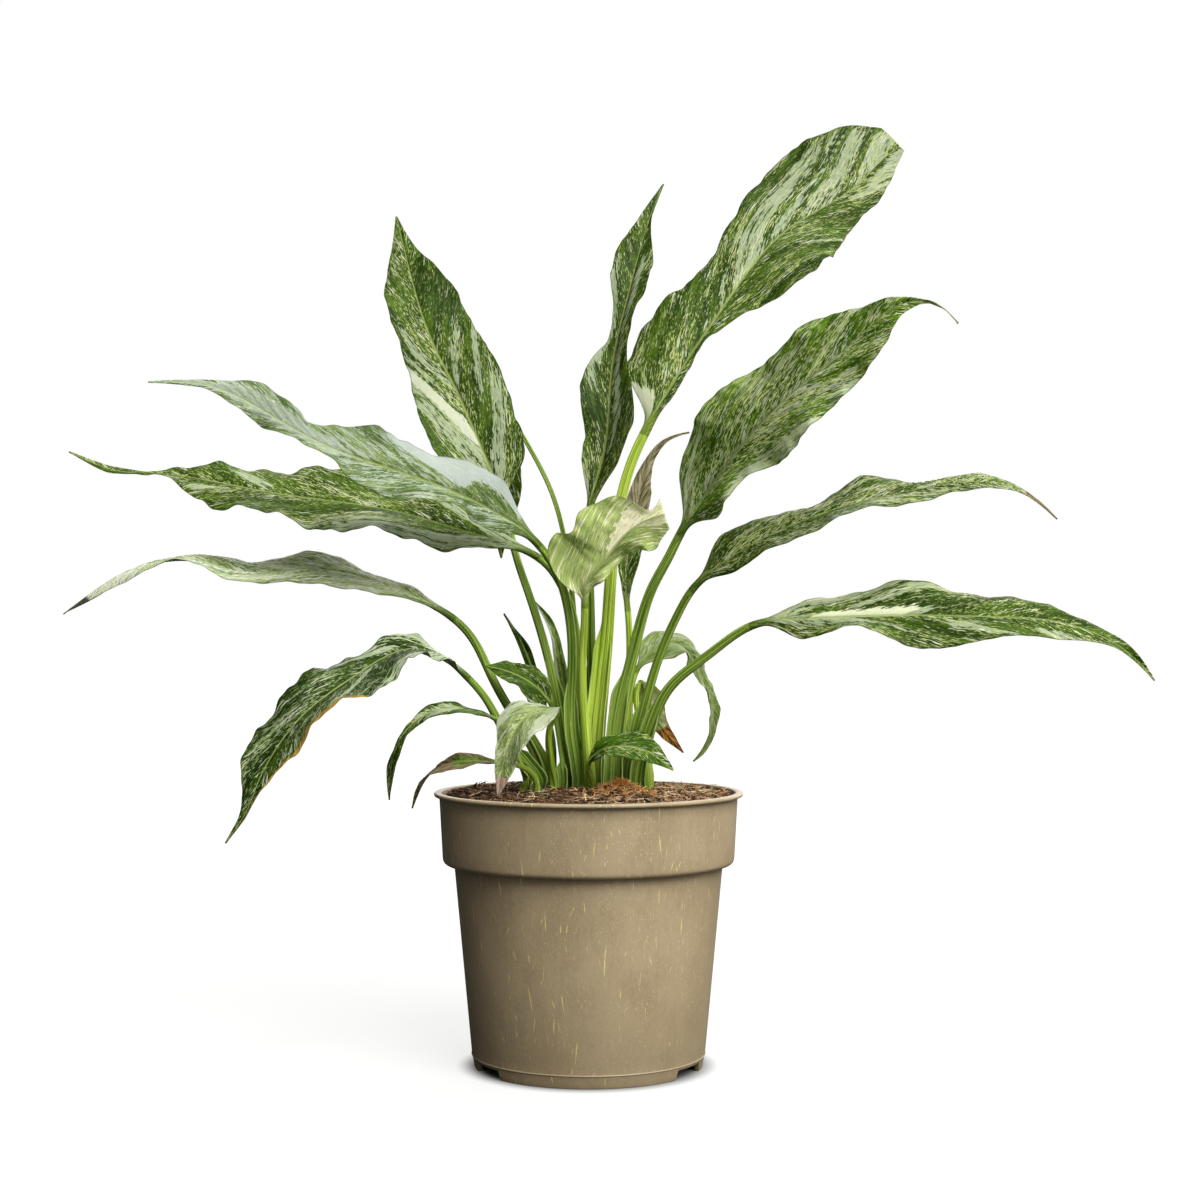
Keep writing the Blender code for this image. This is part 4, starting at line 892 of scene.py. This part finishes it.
def pot_finish():
    """Taupe moulded plastic with straw-coloured fibres and fine specks in it."""
    f = Finish("pot_plastic_finish", roughness=0.42, specular=0.5)
    x, y, z = f.place()
    cloud = f.noise(x / 26, y / 26, z / 40, 3.0)
    grain = f.noise(x / 1.1, y / 1.1, z / 2.6, 2.0)
    drawn = f.noise(x / 2.2, y / 2.2, z / 90, 2.0)
    base = f.mix(f.steps(cloud * 0.8 + drawn * 0.2, 0.36, 0.64), colour(158, 139, 107), colour(172, 153, 120))
    base = f.mix(f.steps(grain, 0.35, 0.7) * 0.3, base, colour(184, 166, 132))

    def fibres(cell, stretch, width, slant, shift, least):
        """Thin upright flecks, one in some of the cells that the space is divided into."""
        spot = f.vector(x / cell, y / cell, z / (cell * stretch) + shift)
        cells = f.node("TexVoronoi", {}, {"Vector": spot, "Scale": 1.0}, output=2)
        chance = f.node("TexVoronoi", {}, {"Vector": spot, "Scale": 1.0}, output=1)
        pick, lean, size = f.split(chance)
        near_x, near_y, near_z = f.split(f.node("VectorMath", {"operation": "SUBTRACT"}, {0: spot, 1: cells}))
        drop = near_z * (cell * stretch)
        radius = f.maths("SQRT", x * x + y * y)
        aside = (near_y * x - near_x * y) * cell / radius + (lean - 0.5) * slant * drop
        depth = (near_x * x + near_y * y) * cell / radius
        ragged = f.noise(x / 0.5, y / 0.5, z / 2.2, 1.0)
        off = f.maths("ABSOLUTE", aside) + f.maths("ABSOLUTE", depth) * 0.35 + (ragged - 0.5) * width
        long = f.maths("ABSOLUTE", drop) / (cell * stretch * (0.14 + 0.3 * size))
        narrow = 1 - f.steps(off + long * width * 0.5, width * 0.45, width)
        return narrow * (1 - f.steps(long, 0.6, 1.0)) * f.steps(pick, least, least + 0.02)

    long_fibres = fibres(5.5, 4.2, 0.56, 0.35, 0.0, 0.5)
    short_fibres = fibres(3.4, 2.4, 0.5, 1.0, 4.5, 0.5)
    specks = fibres(1.5, 1.0, 0.4, 0.0, 9.5, 0.5)
    patchy = f.steps(f.noise(x / 16, y / 16, z / 24, 2.0), 0.42, 0.6)
    marks = f.maths("MAXIMUM", long_fibres * 0.9, short_fibres * (0.35 + patchy * 0.5))
    marks = f.maths("MAXIMUM", marks, specks * (0.22 + patchy * 0.4))
    base = f.mix(marks, base, colour(228, 205, 138))
    inner = f.steps(f.maths("ABSOLUTE", z - SEAM_HEIGHT - 0.4), 0.25, 0.6)
    base = f.mix((1 - inner) * 0.35, base, colour(205, 188, 152))
    # painted shade: the wall darkens towards the foot, where less light from above reaches
    base = f.mix((1 - f.steps(z, 0.0, 75.0)) * 0.32, base, colour(92, 78, 56))
    height = grain * 0.6 + marks * 0.7 + drawn * 0.2
    rough = 0.36 + grain * 0.1 + cloud * 0.08
    return f.finish(Base_Color=base, Roughness=rough, Normal=f.bump(height, 0.00012, 0.6))


SOIL_GAP = 0.35
SOIL_HEIGHT = 148.0
MOUND_HEIGHT = 3.0
MOUND_RADIUS = 34.0
SOIL_ROUGHNESS = 1.2
SOIL_RINGS = 97
SOIL_SIDES = 260
SOIL_RADIUS = COLLAR_FOOT_RADIUS - WALL - SOIL_GAP
FIBRE_HEAP = (17, -25)
HEAP_HALF_WIDTHS = (13, 9)
HEAP_HEIGHT = 5.5

# Straws on the soil: place, length, lean and the way they point, in millimetres and degrees
STRAWS = (
    ((-62, -20), 17, 12, 60), ((-29, -52), 9, 50, 80), ((-2, -60), 11, 55, 70), ((14, -62), 12, 6, 160),
    ((38, -38), 15, 8, 30), ((48, -22), 20, 10, 150), ((60, -8), 14, 5, 20), ((52, -44), 12, 4, 100),
    ((-46, -44), 10, 8, 10), ((30, -58), 9, 10, 50), ((66, 14), 12, 8, 110), ((-50, 30), 12, 9, 40),
    ((5, 62), 13, 8, 170), ((40, 50), 11, 12, 20), ((-20, 66), 10, 6, 80),
)


def lump(x, y, size, level):
    return noise.noise(Vector((x / size, y / size, level)))


def soil_height(x, y):
    """Height of the soil in millimetres: level at the pot's wall, mounded and crumbly in the middle."""
    distance = math.hypot(x, y)
    level = SOIL_HEIGHT + MOUND_HEIGHT * math.exp(-(distance / MOUND_RADIUS) ** 2)
    level += SOIL_ROUGHNESS * (lump(x, y, 9, 3.1) + 0.5 * lump(x, y, 4, 7.7))
    heap = sum(((p - middle) / half) ** 2 for p, middle, half in zip((x, y), FIBRE_HEAP, HEAP_HALF_WIDTHS))
    crumbs = 1.1 * abs(lump(x, y, 3.1, 1.3)) + 0.8 * lump(x, y, 1.6, 5.9) + 0.45 * lump(x, y, 0.9, 2.2)
    return level + crumbs + HEAP_HEIGHT * math.exp(-heap)


def soil_finish(name, dark, light, reddish):
    """Peat: brown crumbs, darker in the hollows as painted shade, each fibre or chip in a shade of its own.
    """
    f = Finish(name, specular=0.25)
    x, y, z = f.place()
    crumb, fine = f.noise(x / 2.2, y / 2.2, z / 2.2, 4.0), f.noise(x / 0.5, y / 0.5, z / 0.5, 2.0)
    shade = f.field("shade")
    base = f.mix(f.steps(shade * 0.75 + crumb * 0.4, 0.3, 0.85), dark, light)
    base = f.mix(f.steps(f.noise(x / 7, y / 7, z / 7, 2.0) + shade * 0.2, 0.56, 0.7) * 0.5, base, reddish)
    base = f.mix(f.steps(fine, 0.5, 0.75) * 0.35, base, light)
    return f.finish(Base_Color=base, Roughness=0.82 + fine * 0.15, Normal=f.bump(crumb + fine * 0.5, 0.0005))


def make_soil():
    step = COLLAR_FOOT + WALL + SOIL_GAP
    low = wall_radius(FLOOR_TOP + 2) - WALL - SOIL_GAP
    rings = [(radius, SOIL_HEIGHT) for radius in np.linspace(0.9, SOIL_RADIUS, SOIL_RINGS)]
    side = [(SOIL_RADIUS, 142), (SOIL_RADIUS, step + 0.8), (BODY_TOP_RADIUS - WALL - SOIL_GAP, step),
            (low, FLOOR_TOP + 2 + SOIL_GAP), (low - 2.2, FLOOR_TOP + SOIL_GAP), (8, FLOOR_TOP + SOIL_GAP)]
    soil = raised("soil_fine", rings + side, SOIL_SIDES)
    shades = np.zeros(len(soil.data.vertices))
    for vert in soil.data.vertices:
        x, y = vert.co.x / MM, vert.co.y / MM
        if vert.co.z > (SOIL_HEIGHT - 1) * MM:
            vert.co.z = soil_height(x, y) * MM
            # painted shade: lighter on the raised crumbs, darker in the hollows between them
            shades[vert.index] = 0.35 + 0.9 * abs(lump(x, y, 3.1, 1.3)) + 0.3 * lump(x, y, 1.6, 5.9)
    give_field(soil.data, "shade", shades)
    soil.data.shade_smooth()
    soil.data.materials.append(
        soil_finish("soil_finish", colour(16, 9, 4), colour(70, 46, 28), colour(72, 42, 22)))
    end_piece(soil)


def scattered(count, seed, heap=None):
    """Seeded places on the soil, evenly over it or in a heap that reaches so far in X and Y."""
    dice = np.random.default_rng(seed)
    turn, out = dice.uniform(0, TURN, count), np.sqrt(dice.uniform(0, 1, count)) * (SOIL_RADIUS - 1.5)
    centre, reach = (0, 0), (1, 1)
    if heap:
        centre, reach, out = FIBRE_HEAP, heap, np.abs(dice.normal(0, 0.5, count))
    x, y = centre[0] + reach[0] * out * np.cos(turn), centre[1] + reach[1] * out * np.sin(turn)
    return dice, np.stack([x, y], 1)


def turned_about(yaw, tilt, roll):
    (cy, sy), (ct, st), (cr, sr) = ((math.cos(turn), math.sin(turn)) for turn in (yaw, tilt, roll))
    flat = np.array([[cy, -sy, 0], [sy, cy, 0], [0, 0, 1]])
    lean = np.array([[ct, 0, -st], [0, 1, 0], [st, 0, ct]])
    spun = np.array([[1, 0, 0], [0, cr, -sr], [0, sr, cr]])
    return flat @ lean @ spun


def strand_shape(sides=4, steps=6):
    """A thin rod one millimetre long along X, made once and bent in each copy."""
    start_piece()
    bpy.ops.mesh.primitive_cylinder_add(vertices=sides, radius=0.5, depth=1, rotation=(0, math.pi / 2, 0),
                                        end_fill_type="NGON")
    rod = bpy.context.object
    bpy.ops.object.transform_apply(location=True, rotation=True)
    bpy.ops.object.mode_set(mode="EDIT")
    bpy.ops.mesh.select_all(action="DESELECT")
    bpy.ops.object.mode_set(mode="OBJECT")
    for edge in rod.data.edges:
        ends = [rod.data.vertices[v].co.x for v in edge.vertices]
        edge.select = abs(ends[0] - ends[1]) > 0.5
    bpy.ops.object.mode_set(mode="EDIT")
    bpy.ops.mesh.subdivide(number_cuts=steps - 1)
    bpy.ops.mesh.select_all(action="SELECT")
    bpy.ops.mesh.quads_convert_to_tris()
    bpy.ops.object.mode_set(mode="OBJECT")
    return shape_of(rod)


def crumb_shape():
    """A small ball one millimetre across, made once and pushed out of round in each copy."""
    start_piece()
    bpy.ops.mesh.primitive_ico_sphere_add(subdivisions=1, radius=0.5)
    return shape_of(bpy.context.object)


def shape_of(piece):
    """Points and faces of a piece, which is then removed."""
    points = np.array([vert.co for vert in piece.data.vertices])
    faces = np.array([list(face.vertices) for face in piece.data.polygons])
    bpy.data.objects.remove(piece)
    return points, faces


def bent_strand(points, dice, place, length, thick, tilt, lift, yaw=None):
    along = points[:, 0]
    taper = 1 - 0.55 * np.abs(2 * along) ** 3
    curl, sag = dice.normal(0, 0.22), dice.normal(0, 0.1)
    wiggle = 0.05 * length * np.sin(9 * along + dice.uniform(0, TURN))
    bow = length * (along ** 2 - 0.1)
    moved = np.stack([along * length, points[:, 1] * thick * taper + curl * bow + wiggle,
                      points[:, 2] * thick * 0.8 * taper + sag * bow], 1)
    yaw = dice.uniform(0, TURN) if yaw is None else yaw
    moved = moved @ turned_about(yaw, tilt, 0).T
    return moved + np.array([place[0], place[1], soil_height(*place) + lift])


def inside_rim(moved):
    """Pushes points that would stand through the pot's wall back in, and under the rim."""
    out = np.hypot(moved[:, 0], moved[:, 1])
    share = np.minimum(1, (SOIL_RADIUS - 0.3) / np.maximum(out, 1e-6))
    moved[:, :2] *= share[:, None]
    return moved


def painted_shade_power(place):
    """Power for a random shade, as painted light and shade: the peat is paler on the right, towards the key
    light, and darker on the left, in the plant's shade.
    """
    return min(max(1.9 - place[0] / 40, 0.85), 3.8)


def add_litter(name, shape, parts, finish):
    """One piece of many bent, turned copies of a shape. Each part is a copy's points and its shade."""
    points, faces = shape
    mesh = bpy.data.meshes.new(name)
    mesh.from_pydata(np.concatenate([inside_rim(moved) for moved, _ in parts]) * MM, [],
                     np.concatenate([faces + len(points) * k for k in range(len(parts))]))
    give_field(mesh, "shade", np.repeat([shade for _, shade in parts], len(points)))
    mesh.update()
    mesh.materials.append(finish)
    piece = bpy.data.objects.new(name, mesh)
    bpy.context.scene.collection.objects.link(piece)
    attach(piece, "root")


def make_litter():
    """Fibres, bark crumbs and a few straws on the soil, and the reddish heap at the foot of the stalks."""
    rod = strand_shape()
    strands = []
    dice, places = scattered(2000, 11)
    for place in places:
        moved = bent_strand(rod[0], dice, place, dice.uniform(3.5, 13), dice.uniform(0.22, 0.8),
                            dice.normal(0, 0.2), dice.uniform(0.2, 1.8))
        # painted light and shade: fibres paler on the right, darker on the left
        strands.append((moved, dice.uniform(0, 1) ** painted_shade_power(place)))
    add_litter("soil_fibres", rod, strands, soil_finish(
        "fibre_finish", colour(56, 36, 20), colour(234, 204, 160), colour(160, 108, 66)))

    strands = []
    dice, places = scattered(900, 23, heap=(20, 13))
    for place in places:
        moved = bent_strand(rod[0], dice, place, dice.uniform(2.5, 8), dice.uniform(0.25, 0.55),
                            dice.normal(0, 0.5), dice.uniform(0.0, 1.8))
        strands.append((moved, dice.uniform(0, 1)))
    add_litter("soil_fibre_heap", rod, strands, soil_finish(
        "heap_finish", colour(208, 140, 68), colour(255, 216, 142), colour(246, 174, 88)))

    crumb = crumb_shape()
    crumbs = []
    dice, places = scattered(2500, 37)
    for place in places:
        size = np.array([dice.uniform(1.4, 7.5), dice.uniform(1.0, 3.2), dice.uniform(0.6, 2.0)])
        moved = crumb[0] * (1 + dice.normal(0, 0.16, crumb[0].shape)) * size
        moved = moved @ turned_about(dice.uniform(0, TURN), dice.normal(0, 0.35), dice.normal(0, 0.5)).T
        moved = moved + np.array([*place, soil_height(*place) + dice.uniform(-0.1, 0.9)])
        # painted light and shade: crumbs paler on the right, darker on the left
        crumbs.append((moved, dice.uniform(0, 1) ** painted_shade_power(place)))
    add_litter("soil_crumbs", crumb, crumbs, soil_finish(
        "crumb_finish", colour(24, 14, 7), colour(160, 122, 84), colour(112, 68, 38)))

    straws = []
    dice = np.random.default_rng(5)
    for place, length, tilt, yaw in STRAWS:
        moved = bent_strand(rod[0], dice, place, length, 0.75, math.radians(tilt), 0.9, math.radians(yaw))
        straws.append((moved, dice.uniform(0.5, 1)))
    add_litter("soil_straws", rod, straws, soil_finish(
        "straw_finish", colour(186, 158, 116), colour(232, 212, 168), colour(206, 172, 120)))


CAMERA_PLACE = (0.0063, -1.126, 0.241)
CAMERA_TILT = 90.73
LENS_MM = 61.2


def add_sun(name, strength, softness, way):
    sun = bpy.data.lights.new(name, "SUN")
    sun.energy, sun.angle = strength, math.radians(softness)
    lamp = bpy.data.objects.new(name, sun)
    bpy.context.scene.collection.objects.link(lamp)
    lamp.rotation_euler = Vector(way).to_track_quat("-Z", "Y").to_euler()


def make_studio():
    """Pale floor, soft light from the right and front, a weaker one from behind, and the camera."""
    start_piece()
    bpy.ops.mesh.primitive_circle_add(vertices=96, radius=14, fill_type="NGON")
    floor = bpy.context.object
    floor.name = "studio_floor"
    f = Finish("studio_floor_finish", roughness=0.9, specular=0.1)
    x, y, _ = f.place()
    paper = f.mix(f.noise(x / 333, y / 333, 0.0, 3.0), colour(248, 248, 247), colour(252, 252, 251))
    seen = f.node("LightPath", {}, {})
    # painted shadow: the floor's glow for camera rays fades out in a disc under the pot, so the floor reads
    # dark there
    glow_outside_painted_shadow = f.steps(x * x + y * y, 58.0 ** 2, 74.0 ** 2)
    f.shader.inputs["Emission Strength"].default_value = 0.78
    floor.data.materials.append(f.finish(
        Base_Color=f.mix(seen, colour(52, 52, 51), colour(126, 126, 125)),
        Emission_Color=f.mix(seen * glow_outside_painted_shadow, colour(0, 0, 0), paper)))

    add_sun("key_light", 2.9, 38, (-0.4, 0.62, -0.68))
    add_sun("back_light", 1.7, 60, (-0.2, -0.94, -0.3))

    world = bpy.data.worlds.new("studio_light")
    bpy.context.scene.world = world
    world.use_nodes = True
    tree = world.node_tree
    ways = tree.nodes.new("ShaderNodeTexCoord")
    side = tree.nodes.new("ShaderNodeVectorMath")
    side.operation = "DOT_PRODUCT"
    side.inputs[1].default_value = Vector((0.58, -0.36, 0.73)).normalized()
    tree.links.new(ways.outputs["Generated"], side.inputs[0])
    amount = tree.nodes.new("ShaderNodeMapRange")
    amount.interpolation_type = "SMOOTHSTEP"
    for socket, value in (("From Min", -0.02), ("From Max", 0.95), ("To Min", 0.008), ("To Max", 1.32)):
        amount.inputs[socket].default_value = value
    tree.links.new(side.outputs["Value"], amount.inputs["Value"])
    light = tree.nodes["Background"]
    tree.links.new(amount.outputs[0], light.inputs["Strength"])
    paper_white = tree.nodes.new("ShaderNodeBackground")
    paper_white.inputs["Strength"].default_value = 1.0
    for shown in (light, paper_white):
        shown.inputs["Color"].default_value = (1, 1, 1, 1)
    seen = tree.nodes.new("ShaderNodeLightPath")
    both = tree.nodes.new("ShaderNodeMixShader")
    tree.links.new(seen.outputs["Is Camera Ray"], both.inputs[0])
    tree.links.new(light.outputs[0], both.inputs[1])
    tree.links.new(paper_white.outputs[0], both.inputs[2])
    tree.links.new(both.outputs[0], tree.nodes["World Output"].inputs["Surface"])

    lens = bpy.data.cameras.new("camera")
    lens.lens, lens.sensor_width = LENS_MM, 36
    camera = bpy.data.objects.new("camera", lens)
    bpy.context.scene.collection.objects.link(camera)
    camera.location = CAMERA_PLACE
    camera.rotation_euler = (math.radians(CAMERA_TILT), 0, 0)
    bpy.context.scene.camera = camera
    bpy.context.scene.view_settings.view_transform = "Standard"


def main():
    make_pot()
    make_soil()
    make_litter()
    for seed, (name, spec) in enumerate(LEAVES.items()):
        make_leaf(name, spec, full_look(name), seed)
    make_studio()


main()
